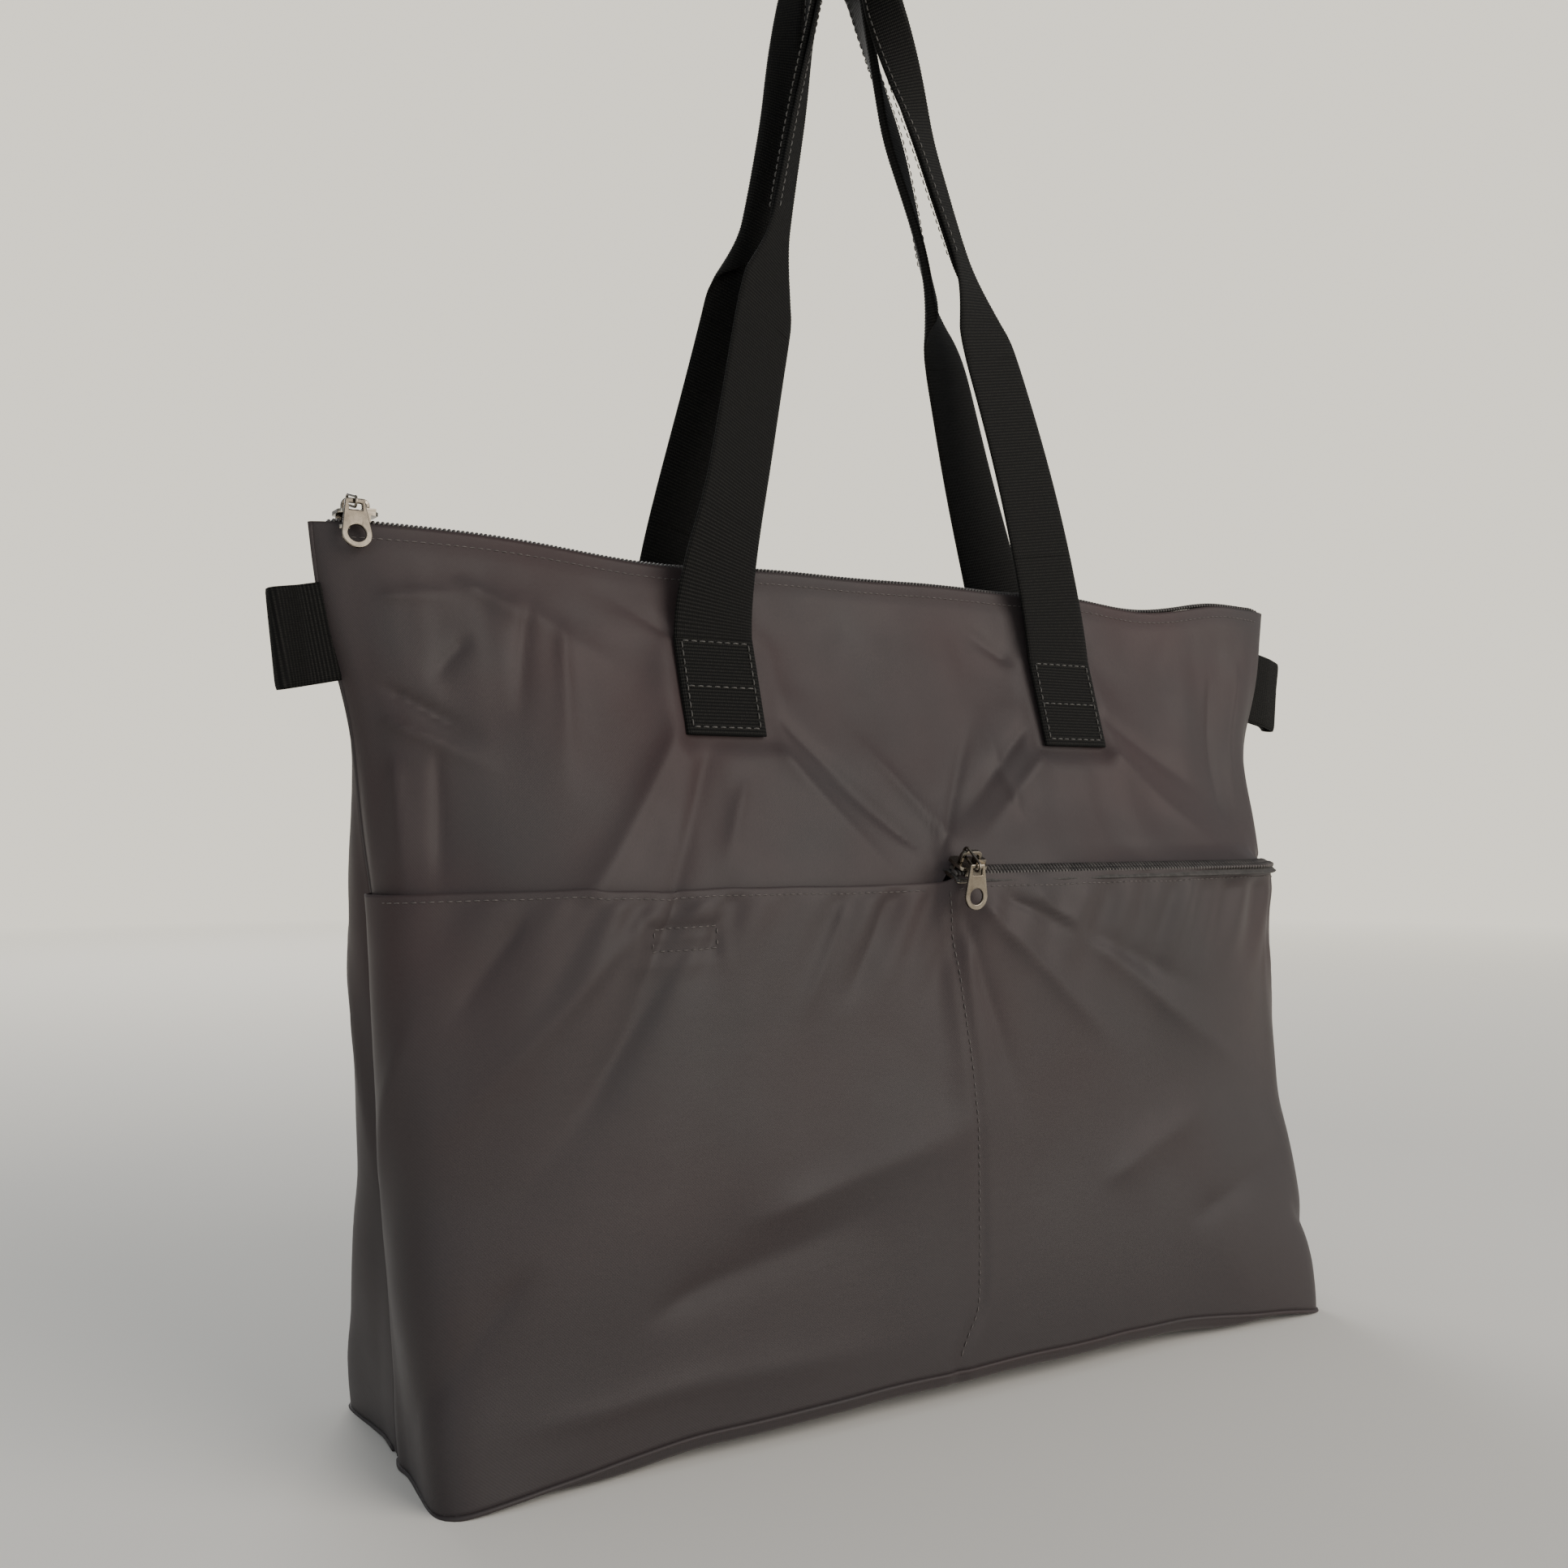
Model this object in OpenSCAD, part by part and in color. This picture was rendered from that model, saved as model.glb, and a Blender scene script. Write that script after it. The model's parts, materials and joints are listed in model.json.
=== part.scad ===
// Knitting bag: a soft boxed tote with a zipped top, a flat front pocket that is half
// open and half zipped, two webbing handles and a webbing loop on each side seam.
// +X is the wearer's right when facing the front, +Y is the back, +Z is up.
// The origin is the middle of the flat base. All sizes are millimetres.

/* [Body] */
// Width across the top edge
top_w = 412; // [390:1:430]
// Width across the base
base_w = 354; // [330:1:370]
// Front to back depth of the base
base_d = 110; // [100:1:120]
// Height of the top edge
body_h = 284; // [276:1:290]
// Height of the pocket's top edge
pocket_h = 173; // [170:1:176]
// Thickness of one layer of body fabric
fabric_t = 1.2; // [1:0.1:1.2]

/* [Webbing] */
// Width of the webbing
strap_w = 30; // [25:1:32]
// Thickness of the webbing
strap_t = 1.8; // [1.5:0.1:2]
// Distance of each strap end's middle from the bag's middle
strap_x = 76; // [70:1:85]
// Height of the strap ends' lower edge
strap_end_z = 222; // [216:1:228]
// Height of the row of stitches where the straps come free
strap_free_z = 254; // [250:1:258]
// Length of the flat leg between that row and the folded grip
leg_len = 150; // [130:5:160]
// Radius of the grip's middle line at the top of the handle
grip_r = 12; // [10:1:14]
// How far each leg leans towards the middle, in degrees
leg_angle = 14; // [13:0.5:15]
// How far the front handle leans back, in degrees
front_lean = 7.6; // [7:0.1:8]
// How far the back handle leans back, in degrees
back_lean = 2; // [1.5:0.1:2.5]

/* [Side loops] */
// Height of each side loop's middle
loop_z = 250; // [240:1:255]
// How far each side loop stands out from its hinge line
loop_len = 15; // [12:1:18]

/* [Zips] */
// Distance of the parked top slider from the bag's middle
top_park = 192; // [185:1:192]
// Place of the parked pocket slider along the pocket zip
pocket_park = 7; // [7:1:10]
// Right-hand end of the pocket zip
pocket_zip_end = 160; // [140:1:165]
// How far the pocket zip's face tips forwards, in degrees
pocket_zip_tip = 26; // [24:1:28]

/* [Hook and loop fastener] */
// Distance of the fastener's middle from the bag's middle, to the left
patch_x = 100; // [80:1:105]
// Height of the fastener's middle
patch_z = 157; // [145:1:158]

/* [Hidden] */

$fn = 48;

// Colours
cloth_grey = [0.29, 0.27, 0.26];
tape_black = [0.10, 0.10, 0.10];
coil_grey = [0.17, 0.16, 0.16];
webbing_black = [0.11, 0.11, 0.10];
nickel = [0.72, 0.70, 0.66];

// Gaps and small sizes
seam_gap = 0.1;
lie_gap = 0.4;
panel_top = body_h - 0.5;
hem_drop = 0.8;

// How quickly the panels lean in above the pocket line
lean_power = 1.25;

// Number of points across and up the panels
columns = 30;
rows_low = 7;
rows_high = 8;

// Half depths of the front and back panels at the base, the pocket line and the top
top_half_d = 7.8;
front_base_d = base_d / 2 - 4;
front_pocket_d = 41.5;
back_base_d = base_d / 2;
back_pocket_d = 46;

// Stand-off of the pocket panel from the front panel
pocket_low_gap = 2.8;
slip_gap = 3.2;
zip_gap = 8;

// Zip sizes, measured from the middle of the tape
top_tape_half = 200;
top_coil_half = 199;
top_fold_half = 184;
pocket_reach_lower = 6;
pocket_reach_upper = 5;
tape_t = 0.6;
tape_inner = 0.6;
coil_low = 0.35;
coil_high = 2.55;
coil_outer = 3;
plate_t = 1.2;
slider_len = 12.5;
slider_top = 4.15;
crown_h = 4.3;
crown_bar = 1.3;
crown_y = 1.6;
link_x = -2.2;
link_bar = 0.8;
link_reach = 7.2;
pivot_z = slider_top + crown_h - crown_bar / 2;
eye_z = 6;
tab_t = 1;
top_tab_tilt = 13;
pocket_tab_lean = 4;
pocket_zip_y = -45.6;
pocket_zip_z = pocket_h + 3.2;

side_tilt = atan((top_w - base_w) / 2 / body_h);

// Half width of the body at height z
function half_width(z) = (base_w + (top_w - base_w) * z / body_h) / 2;

// Height above the pocket line as a share of the upper part
function upper(z) = (z - pocket_h) / (body_h - pocket_h);

// Half depth of a panel that is straight up to the pocket line and then leans in
function panel_depth(z, base, pocket) =
  z <= pocket_h
  ? base + (pocket - base) * z / pocket_h
  : top_half_d + (pocket - top_half_d) * pow(1 - upper(z), lean_power);

function front_depth(z) = panel_depth(z, front_base_d, front_pocket_d);
function back_depth(z) = panel_depth(z, back_base_d, back_pocket_d);

// Squareness of the plan outline: boxed at the base, soft in the middle, flat at the top
function squareness(z) =
  z <= pocket_h
  ? 8 + 16 * pow(1 - z / pocket_h, 2)
  : 8 + 52 * pow(upper(z), 6);

// Share of the full depth left at a share u of the half width
function bulge(u, z) = sqrt(max(0, 1 - pow(abs(u), squareness(z))));

// Columns are closer together towards the side seams
function across(i) = sin(90 * (2 * i / columns - 1));

// Smooth step from 0 at a to 1 at b
function ease(a, b, x) =
  let (t = min(1, max(0, (x - a) / (b - a))))
  t * t * (3 - 2 * t);

// Gap between the front panel and the pocket panel
function pocket_gap(x, z) =
  let (top_gap = slip_gap + (zip_gap - slip_gap) * ease(-25, 0, x))
  pocket_low_gap + (top_gap - pocket_low_gap) * z / pocket_h;

// One point of a panel, inset by skin from its outer face
function panel_point(i, z, depth, skin) =
  let (w = half_width(z) - skin, u = across(i))
  [w * u, -seam_gap - (depth - skin) * bulge(u, z), z];

// One point of the pocket panel, standing proud of the front panel
function pocket_point(i, z, proud) =
  let (w = half_width(z) + seam_gap + proud, u = across(i))
  [w * u, -seam_gap - (front_depth(z) + pocket_gap(w * u, z) + proud) * bulge(u, z), z];

// Heights of the rows of points up a panel
function panel_rows() = [
  for (j = [0:rows_low + rows_high])
    j <= rows_low
    ? pocket_h * j / rows_low
    : pocket_h + (panel_top - pocket_h) * (j - rows_low) / rows_high
];

// Plan outline of the body at height z, with separate front and back half depths
function outline(w, front, back, z) = concat(
  [for (i = [0:columns]) [w * across(i), -front * bulge(across(i), z)]],
  [for (i = [columns - 1:-1:1]) [w * across(i), back * bulge(across(i), z)]]
);

// A closed shell between an outer and an inner sheet of points, both given row by row
module sheet(outer, inner, row_count) {
  n = columns;
  m = row_count - 1;
  half = row_count * (n + 1);
  function o(j, i) = j * (n + 1) + i;
  function q(j, i) = half + o(j, i);
  faces = concat(
    [for (j = [0:m - 1], i = [0:n - 1]) each [
      [o(j, i), o(j + 1, i), o(j + 1, i + 1)],
      [o(j, i), o(j + 1, i + 1), o(j, i + 1)],
      [q(j, i), q(j + 1, i + 1), q(j + 1, i)],
      [q(j, i), q(j, i + 1), q(j + 1, i + 1)]
    ]],
    [for (i = [0:n - 1]) each [
      [o(0, i), o(0, i + 1), q(0, i + 1), q(0, i)],
      [o(m, i + 1), o(m, i), q(m, i), q(m, i + 1)]
    ]],
    [for (j = [0:m - 1]) each [
      [o(j + 1, 0), o(j, 0), q(j, 0), q(j + 1, 0)],
      [o(j, n), o(j + 1, n), q(j + 1, n), q(j, n)]
    ]]
  );
  polyhedron(concat(outer, inner), faces);
}

// A flat shape stood upright in the plane y = 0, centred on it
module flat_piece(thick) {
  translate([0, thick / 2, 0])
  rotate([90, 0, 0])
  linear_extrude(thick)
  children();
}

// Points along an arc from angle a to angle b
function arc(x, y, r, a, b, steps) = [
  for (k = [0:steps])
    let (t = a + (b - a) * k / steps)
    [x + r * cos(t), y + r * sin(t)]
];

// ---- Body fabric ----

module front_panel() {
  zs = panel_rows();
  color(cloth_grey)
  sheet(
    [for (z = zs, i = [0:columns]) panel_point(i, z, front_depth(z), 0)],
    [for (z = zs, i = [0:columns]) panel_point(i, z, front_depth(z), fabric_t)],
    len(zs)
  );
}

module back_panel() {
  zs = panel_rows();
  color(cloth_grey)
  mirror([0, 1, 0])
  sheet(
    [for (z = zs, i = [0:columns]) panel_point(i, z, back_depth(z), 0)],
    [for (z = zs, i = [0:columns]) panel_point(i, z, back_depth(z), fabric_t)],
    len(zs)
  );
}

module bottom_panel() {
  inset = fabric_t + 0.3;
  color(cloth_grey)
  linear_extrude(fabric_t)
  polygon(outline(base_w / 2 - inset, front_base_d - inset, back_base_d - inset, 0));
}

// The pocket panel ends just under the zip's lower tape
module front_pocket_panel() {
  pocket_rows = [for (j = [0:rows_low]) (pocket_h - hem_drop) * j / rows_low];
  color(cloth_grey)
  sheet(
    [for (z = pocket_rows, i = [0:columns]) pocket_point(i, z, fabric_t)],
    [for (z = pocket_rows, i = [0:columns]) pocket_point(i, z, 0)],
    len(pocket_rows)
  );
}

// ---- Seam bindings inside the body ----

// A bound seam allowance that stands inwards along a side seam
module side_seam_tape() {
  tape_w = 10;
  thick = 2;
  low = 12;
  high = body_h - 18;
  inset = fabric_t + 0.6;
  color(tape_black)
  translate([half_width(0) - inset, 0, 0])
  rotate([0, side_tilt, 0])
  translate([-tape_w, -thick / 2, low])
  cube([tape_w, thick, high - low]);
}

// A bound seam allowance that stands up around the base
module bottom_seam_tape() {
  low = 1.7;
  high = 9.7;
  thick = 1.5;
  inset = fabric_t + 0.6;
  w = base_w / 2 - inset;
  front = front_depth(high) - inset;
  back = back_depth(high) - inset;
  color(tape_black)
  translate([0, 0, low])
  linear_extrude(high - low)
  difference() {
    polygon(outline(w, front, back, 0));
    polygon(outline(w - thick, front - thick, back - thick, 0));
  }
}

// ---- Hook and loop fastener of the open half of the pocket ----

// How far the middle of each patch stands in front of the front panel
hook_stand = 0.8;
loop_stand = 2.2;

// One patch; depth is the distance of its middle from the bag's middle plane
module patch(depth) {
  patch_w = 24;
  patch_h = 9;
  patch_t = 1.1;
  lean = atan((front_base_d - front_pocket_d) / pocket_h);
  translate([-patch_x, -depth, patch_z])
  rotate([-lean, 0, 0])
  cube([patch_w, patch_t, patch_h], center = true);
}

module hook_patch() {
  color(tape_black)
  patch(front_depth(patch_z) + hook_stand);
}

module loop_patch() {
  color(tape_black)
  patch(front_depth(patch_z) + loop_stand);
}

// ---- Zips, drawn along +X with the tape's middle on z = 0 ----

// One straight tape from x0 to x1 that reaches y = reach
module tape(x0, x1, reach) {
  translate([x0, tape_inner, -tape_t / 2])
  cube([x1 - x0, reach - tape_inner, tape_t]);
}

// One half of the coil, with a rounded top
module coil(x0, x1) {
  width = coil_outer - tape_inner;
  height = coil_high - coil_low;
  round_r = width / 2;
  translate([x0, tape_inner, coil_low])
  rotate([90, 0, 90])
  linear_extrude(x1 - x0)
  intersection() {
    square([width, height]);
    union() {
      square([width, height - round_r]);
      translate([round_r, height - round_r])
      circle(round_r);
    }
  }
}

// Plan shape of the slider's plates: a broad nose and a narrower tail
module slider_plate() {
  nose_r = 1.8;
  nose_x = slider_len / 2 - nose_r;
  half_nose = 4.5;
  half_tail = 3.7;
  tail_x = slider_len / 2 - 1;
  translate([-nose_x, half_nose - nose_r])
  circle(nose_r);
  translate([-nose_x, nose_r - half_nose])
  circle(nose_r);
  translate([-slider_len / 2, nose_r - half_nose])
  square([nose_r, 2 * (half_nose - nose_r)]);
  polygon([
    [-nose_x, half_nose], [0, half_nose], [tail_x, half_tail], [slider_len / 2, half_tail - 1],
    [slider_len / 2, 1 - half_tail], [tail_x, -half_tail], [0, -half_nose], [-nose_x, -half_nose]
  ]);
}

module slider() {
  under = -0.7;
  over = slider_top - plate_t;
  flange_y = 3.3;
  flange_t = 1;
  flange_low = 0.75;
  flange_x = 3.6;
  post_t = 0.8;
  lip = [3.9, 3, 1.4];
  color(nickel) {
    translate([0, 0, under - plate_t])
    linear_extrude(plate_t)
    slider_plate();
    translate([0, 0, over])
    linear_extrude(plate_t)
    slider_plate();
    translate([-slider_len / 2 + 0.3, -post_t / 2, under])
    cube([3.6, post_t, over - under]);
    for (side = [-1, 1])
      translate([-flange_x, side > 0 ? flange_y : -flange_y - flange_t, flange_low])
      cube([2 * flange_x, flange_t, over - flange_low]);
    translate([slider_len / 2 - 0.2 - lip[0], -lip[1] / 2, slider_top])
    cube(lip);
  }
}

// The arch on top of the slider that the pull's link runs on, open at the tail
module crown() {
  half_len = 4.4;
  outer_r = 2.2;
  inner_r = outer_r - crown_bar;
  mouth = 1.6;
  color(nickel)
  translate([0, crown_y / 2, slider_top])
  rotate([90, 0, 0])
  linear_extrude(crown_y)
  difference() {
    union() {
      translate([-half_len, 0])
      square([2 * half_len, crown_h - outer_r]);
      translate([outer_r - half_len, 0])
      square([2 * (half_len - outer_r), crown_h]);
      for (side = [-1, 1])
        translate([side * (half_len - outer_r), crown_h - outer_r])
        circle(outer_r);
    }
    translate([crown_bar - half_len, -1])
    square([2 * (half_len - crown_bar), crown_h - outer_r + 1]);
    translate([outer_r - half_len, -1])
    square([2 * (half_len - outer_r), crown_h - crown_bar + 1]);
    for (side = [-1, 1])
      translate([side * (half_len - outer_r), crown_h - outer_r])
      circle(inner_r);
    translate([half_len - crown_bar - 0.5, -1])
    square([crown_bar + 1, mouth + 1]);
  }
}

// A closed wire loop in the plane across the zip, round the crown and through the pull's eye
module pull_link() {
  inner_r = 1.2;
  outer_r = inner_r + link_bar;
  drop = pivot_z - eye_z;
  span = sqrt(link_reach * link_reach + drop * drop);
  color(nickel)
  translate([link_x - link_bar / 2, 0, pivot_z])
  rotate([90, 0, 90])
  rotate(180 + atan(drop / link_reach))
  linear_extrude(link_bar)
  difference() {
    union() {
      circle(outer_r);
      translate([span, 0])
      circle(outer_r);
      translate([0, -outer_r])
      square([span, 2 * outer_r]);
    }
    union() {
      circle(inner_r);
      translate([span, 0])
      circle(inner_r);
      translate([0, -inner_r])
      square([span, 2 * inner_r]);
    }
  }
}

// The pull's flat tab with an eye at the top and a round hole in its broad end
module pull_tab(tilt) {
  top_half = 2.95;
  round_r = 4.6;
  round_z = -10.2;
  hole_r = 2.75;
  eye = [4, 2.4];
  bar = 0.5;
  rim = 0.7;
  side_angle = atan((round_r - top_half) / (rim - round_z));
  color(nickel)
  translate([link_x, -link_reach, eye_z])
  rotate([-tilt, 0, 0])
  flat_piece(tab_t)
  difference() {
    polygon(concat(
      [[-top_half, rim], [top_half, rim]],
      arc(0, round_z, round_r, side_angle, -180 - side_angle, 24)
    ));
    translate([0, round_z])
    circle(hole_r);
    translate([-eye[0] / 2, -bar - eye[1]])
    square(eye);
  }
}

// ---- Top zip ----

// The tape is flat beside the coil and turns down inside the panel
module top_zip_tape() {
  flat_reach = 5.2;
  fold_y = 5.7;
  fold_h = 12;
  color(tape_black) {
    tape(-top_tape_half, top_tape_half, flat_reach);
    tape(-top_fold_half, top_fold_half, fold_y + tape_t);
    translate([-top_fold_half, fold_y, -fold_h])
    cube([2 * top_fold_half, tape_t, fold_h]);
  }
}

module on_top_zip() {
  translate([0, 0, body_h])
  children();
}

module on_top_slider() {
  on_top_zip()
  translate([-top_park, 0, 0])
  children();
}

module top_zip_tape_back() {
  on_top_zip()
  top_zip_tape();
}

module top_zip_tape_front() {
  on_top_zip()
  mirror([0, 1, 0])
  top_zip_tape();
}

module top_zip_coil_back() {
  color(coil_grey)
  on_top_zip()
  coil(-top_coil_half, top_coil_half);
}

module top_zip_coil_front() {
  color(coil_grey)
  on_top_zip()
  mirror([0, 1, 0])
  coil(-top_coil_half, top_coil_half);
}

module top_zip_slider() {
  on_top_slider()
  slider();
}

module top_zip_crown() {
  on_top_slider()
  crown();
}

module top_zip_pull_link() {
  on_top_slider()
  pull_link();
}

module top_zip_pull_tab() {
  on_top_slider()
  pull_tab(top_tab_tilt);
}

// ---- Pocket zip ----

module on_pocket_zip() {
  translate([0, pocket_zip_y, pocket_zip_z])
  rotate([pocket_zip_tip, 0, 0])
  children();
}

module on_pocket_slider() {
  on_pocket_zip()
  translate([pocket_park, 0, 0])
  children();
}

module pocket_zip_tape_lower() {
  color(tape_black)
  on_pocket_zip()
  mirror([0, 1, 0])
  tape(0, pocket_zip_end, pocket_reach_lower);
}

module pocket_zip_tape_upper() {
  color(tape_black)
  on_pocket_zip()
  tape(0, pocket_zip_end, pocket_reach_upper);
}

module pocket_zip_coil_lower() {
  color(coil_grey)
  on_pocket_zip()
  mirror([0, 1, 0])
  coil(1, pocket_zip_end - 1);
}

module pocket_zip_coil_upper() {
  color(coil_grey)
  on_pocket_zip()
  coil(1, pocket_zip_end - 1);
}

module pocket_zip_slider() {
  on_pocket_slider()
  slider();
}

module pocket_zip_crown() {
  on_pocket_slider()
  crown();
}

module pocket_zip_pull_link() {
  on_pocket_slider()
  pull_link();
}

module pocket_zip_pull_tab() {
  on_pocket_slider()
  pull_tab(pocket_zip_tip - pocket_tab_lean);
}

// ---- Handles, drawn in the upright plane y = 0 from the stitched row upwards ----

// Puts a handle's plane at its stitched row, side -1 for the front and 1 for the back
module at_strap_row(side, depth) {
  translate([0, side * (depth + lie_gap + strap_t / 2), strap_free_z])
  children();
}

// A sewn strap end that lies along the panel below the stitched row
module strap_end(side, low_depth, high_depth) {
  drop = strap_free_z - strap_end_z;
  slope = atan((low_depth - high_depth) / drop);
  length = drop / cos(slope);
  color(webbing_black)
  at_strap_row(side, high_depth)
  rotate([side * slope, 0, 0])
  translate([-strap_w / 2, -strap_t / 2, -length])
  cube([strap_w, strap_t, length - 0.5]);
}

// Both legs of a handle, narrowing to the folded grip at the top
module strap_legs(side, depth, lean) {
  taper = 22;
  narrow = 8.5;
  start = 0.5;
  shift = tan(leg_angle);
  color(webbing_black)
  at_strap_row(side, depth)
  rotate([-lean, 0, 0])
  flat_piece(strap_t)
  for (hand = [-1, 1])
    scale([hand, 1])
    polygon([
      [strap_x - strap_w / 2 - start * shift, start],
      [strap_x + strap_w / 2 - start * shift, start],
      [strap_x + strap_w / 2 - (leg_len - taper) * shift, leg_len - taper],
      [strap_x + narrow - leg_len * shift, leg_len],
      [strap_x - narrow - leg_len * shift, leg_len],
      [strap_x - strap_w / 2 - (leg_len - taper) * shift, leg_len - taper]
    ]);
}

// The grip: webbing folded in half lengthwise, over the top of the handle
module strap_grip(side, depth, lean) {
  half_w = strap_w / 4;
  thick = 2 * strap_t + 0.2;
  start = leg_len + 1.5;
  shift = tan(leg_angle);
  foot_x = strap_x - start * shift;
  edge = half_w / cos(leg_angle);
  meet_z = (strap_x - grip_r * cos(leg_angle)) / shift;
  centre_z = meet_z - grip_r * sin(leg_angle);
  steps = 16;
  color(webbing_black)
  at_strap_row(side, depth)
  rotate([-lean, 0, 0])
  flat_piece(thick)
  polygon(concat(
    [[foot_x + edge, start]],
    arc(0, centre_z, grip_r + half_w, leg_angle, 180 - leg_angle, steps),
    [[-foot_x - edge, start], [-foot_x + edge, start]],
    arc(0, centre_z, grip_r - half_w, 180 - leg_angle, leg_angle, steps),
    [[foot_x - edge, start]]
  ));
}

module front_strap_end_left() {
  translate([-strap_x, 0, 0])
  strap_end(-1, front_depth(strap_end_z), front_depth(strap_free_z));
}

module front_strap_end_right() {
  translate([strap_x, 0, 0])
  strap_end(-1, front_depth(strap_end_z), front_depth(strap_free_z));
}

module back_strap_end_left() {
  translate([-strap_x, 0, 0])
  strap_end(1, back_depth(strap_end_z), back_depth(strap_free_z));
}

module back_strap_end_right() {
  translate([strap_x, 0, 0])
  strap_end(1, back_depth(strap_end_z), back_depth(strap_free_z));
}

module front_strap_legs() {
  strap_legs(-1, front_depth(strap_free_z), front_lean);
}

module front_strap_grip() {
  strap_grip(-1, front_depth(strap_free_z), front_lean);
}

module back_strap_legs() {
  strap_legs(1, back_depth(strap_free_z), back_lean);
}

module back_strap_grip() {
  strap_grip(1, back_depth(strap_free_z), back_lean);
}

// ---- Side loops ----

// A short piece of webbing folded double, with its two ends towards the side seam
module side_loop() {
  outer_r = 2.6;
  inner_r = outer_r - strap_t;
  bend_x = loop_len - outer_r;
  stand_off = 3.2;
  color(webbing_black)
  translate([half_width(loop_z) + stand_off, 0, loop_z])
  rotate([0, side_tilt, 0])
  translate([0, 0, -strap_w / 2])
  linear_extrude(strap_w)
  difference() {
    union() {
      translate([0, -outer_r])
      square([bend_x, 2 * outer_r]);
      translate([bend_x, 0])
      circle(outer_r);
    }
    union() {
      translate([-1, -inner_r])
      square([bend_x + 1, 2 * inner_r]);
      translate([bend_x, 0])
      circle(inner_r);
    }
  }
}

module side_loop_right() {
  side_loop();
}

module side_loop_left() {
  mirror([1, 0, 0])
  side_loop();
}

module side_seam_tape_right() {
  side_seam_tape();
}

module side_seam_tape_left() {
  mirror([1, 0, 0])
  side_seam_tape();
}

front_panel();
back_panel();
bottom_panel();
front_pocket_panel();
side_seam_tape_left();
side_seam_tape_right();
bottom_seam_tape();
hook_patch();
loop_patch();
top_zip_tape_front();
top_zip_tape_back();
top_zip_coil_front();
top_zip_coil_back();
top_zip_slider();
top_zip_crown();
top_zip_pull_link();
top_zip_pull_tab();
pocket_zip_tape_lower();
pocket_zip_tape_upper();
pocket_zip_coil_lower();
pocket_zip_coil_upper();
pocket_zip_slider();
pocket_zip_crown();
pocket_zip_pull_link();
pocket_zip_pull_tab();
front_strap_end_left();
front_strap_end_right();
front_strap_legs();
front_strap_grip();
back_strap_end_left();
back_strap_end_right();
back_strap_legs();
back_strap_grip();
side_loop_left();
side_loop_right();
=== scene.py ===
import json
import math

import bmesh
import bpy
import numpy as np
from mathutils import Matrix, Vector


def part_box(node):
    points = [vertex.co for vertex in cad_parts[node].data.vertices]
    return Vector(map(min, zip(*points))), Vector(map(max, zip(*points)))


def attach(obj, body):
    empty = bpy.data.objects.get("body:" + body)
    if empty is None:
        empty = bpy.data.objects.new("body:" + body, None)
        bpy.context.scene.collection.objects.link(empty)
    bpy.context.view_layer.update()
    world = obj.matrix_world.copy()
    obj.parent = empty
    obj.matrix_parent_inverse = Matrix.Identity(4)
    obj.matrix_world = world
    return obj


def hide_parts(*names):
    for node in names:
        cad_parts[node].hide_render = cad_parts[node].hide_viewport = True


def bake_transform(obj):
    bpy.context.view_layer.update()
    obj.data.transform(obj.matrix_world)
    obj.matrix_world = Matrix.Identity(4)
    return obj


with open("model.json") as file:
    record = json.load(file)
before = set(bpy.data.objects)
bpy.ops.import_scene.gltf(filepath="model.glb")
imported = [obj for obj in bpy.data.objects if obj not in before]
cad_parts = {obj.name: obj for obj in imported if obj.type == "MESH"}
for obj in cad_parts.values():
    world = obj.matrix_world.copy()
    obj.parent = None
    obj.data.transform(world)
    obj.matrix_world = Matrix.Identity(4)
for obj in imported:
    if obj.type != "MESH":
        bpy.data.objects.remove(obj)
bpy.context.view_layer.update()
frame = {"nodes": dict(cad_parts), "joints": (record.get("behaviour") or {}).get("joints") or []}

MM = 0.001
joints = {j["name"]: j for j in frame["joints"]}


# ---- small helpers

def ease(a, b, x):
    t = np.clip((x - a) / (b - a), 0, 1)
    return t * t * (3 - 2 * t)


def smooth(values, width):
    """Running mean with the ends held."""
    padded = np.concatenate([np.full(width, values[0]), values, np.full(width, values[-1])])
    kernel = np.hanning(2 * width + 1)
    return np.convolve(padded, kernel / kernel.sum(), "valid")


def bell(x, middle, width):
    return np.exp(-(((x - middle) / width) ** 2))


def unit(v):
    length = np.linalg.norm(v, axis=-1, keepdims=True)
    return v / np.maximum(length, 1e-12)


def tangents(path):
    return unit(np.gradient(path, axis=0))


def run_along(points):
    """Distance along a path at each of its points."""
    return np.concatenate([[0], np.cumsum(np.linalg.norm(np.diff(points, axis=0), axis=1))])


def sample(at, run, values):
    """Rows of values between the places in run, at the places in at."""
    return np.stack([np.interp(at, run, values[:, k]) for k in range(values.shape[1])], -1)


def pair(across, up):
    """Two coordinates side by side, each spread over the other."""
    return np.stack(np.broadcast_arrays(across, up), -1).astype(float)


def copies(vector, count):
    return np.repeat(np.array([vector], float), count, 0)


def add_object(name, data):
    thing = bpy.data.objects.new(name, data)
    bpy.context.scene.collection.objects.link(thing)
    return thing


def mm_box(node):
    """A CAD node's box in millimetres."""
    low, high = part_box(node)
    return np.array(low) / MM, np.array(high) / MM


# ---- sizes, in millimetres, from the frame

front_low, front_high = mm_box("front_panel")
pocket_high = mm_box("front_pocket_panel")[1]
back_high = mm_box("back_panel")[1]
base_high = mm_box("bottom_panel")[1]
end_low, end_high = mm_box("front_strap_end_right")

CLOTH_T = 0.7
# The cloth's edges stand a little beyond the CAD's
BODY_H = front_high[2] + 0.5
TOP_HALF_W = front_high[0]
BASE_HALF_W = base_high[0] + 1.5
BACK_BASE_D = back_high[1]
POCKET_H = pocket_high[2] + 0.8
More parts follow.
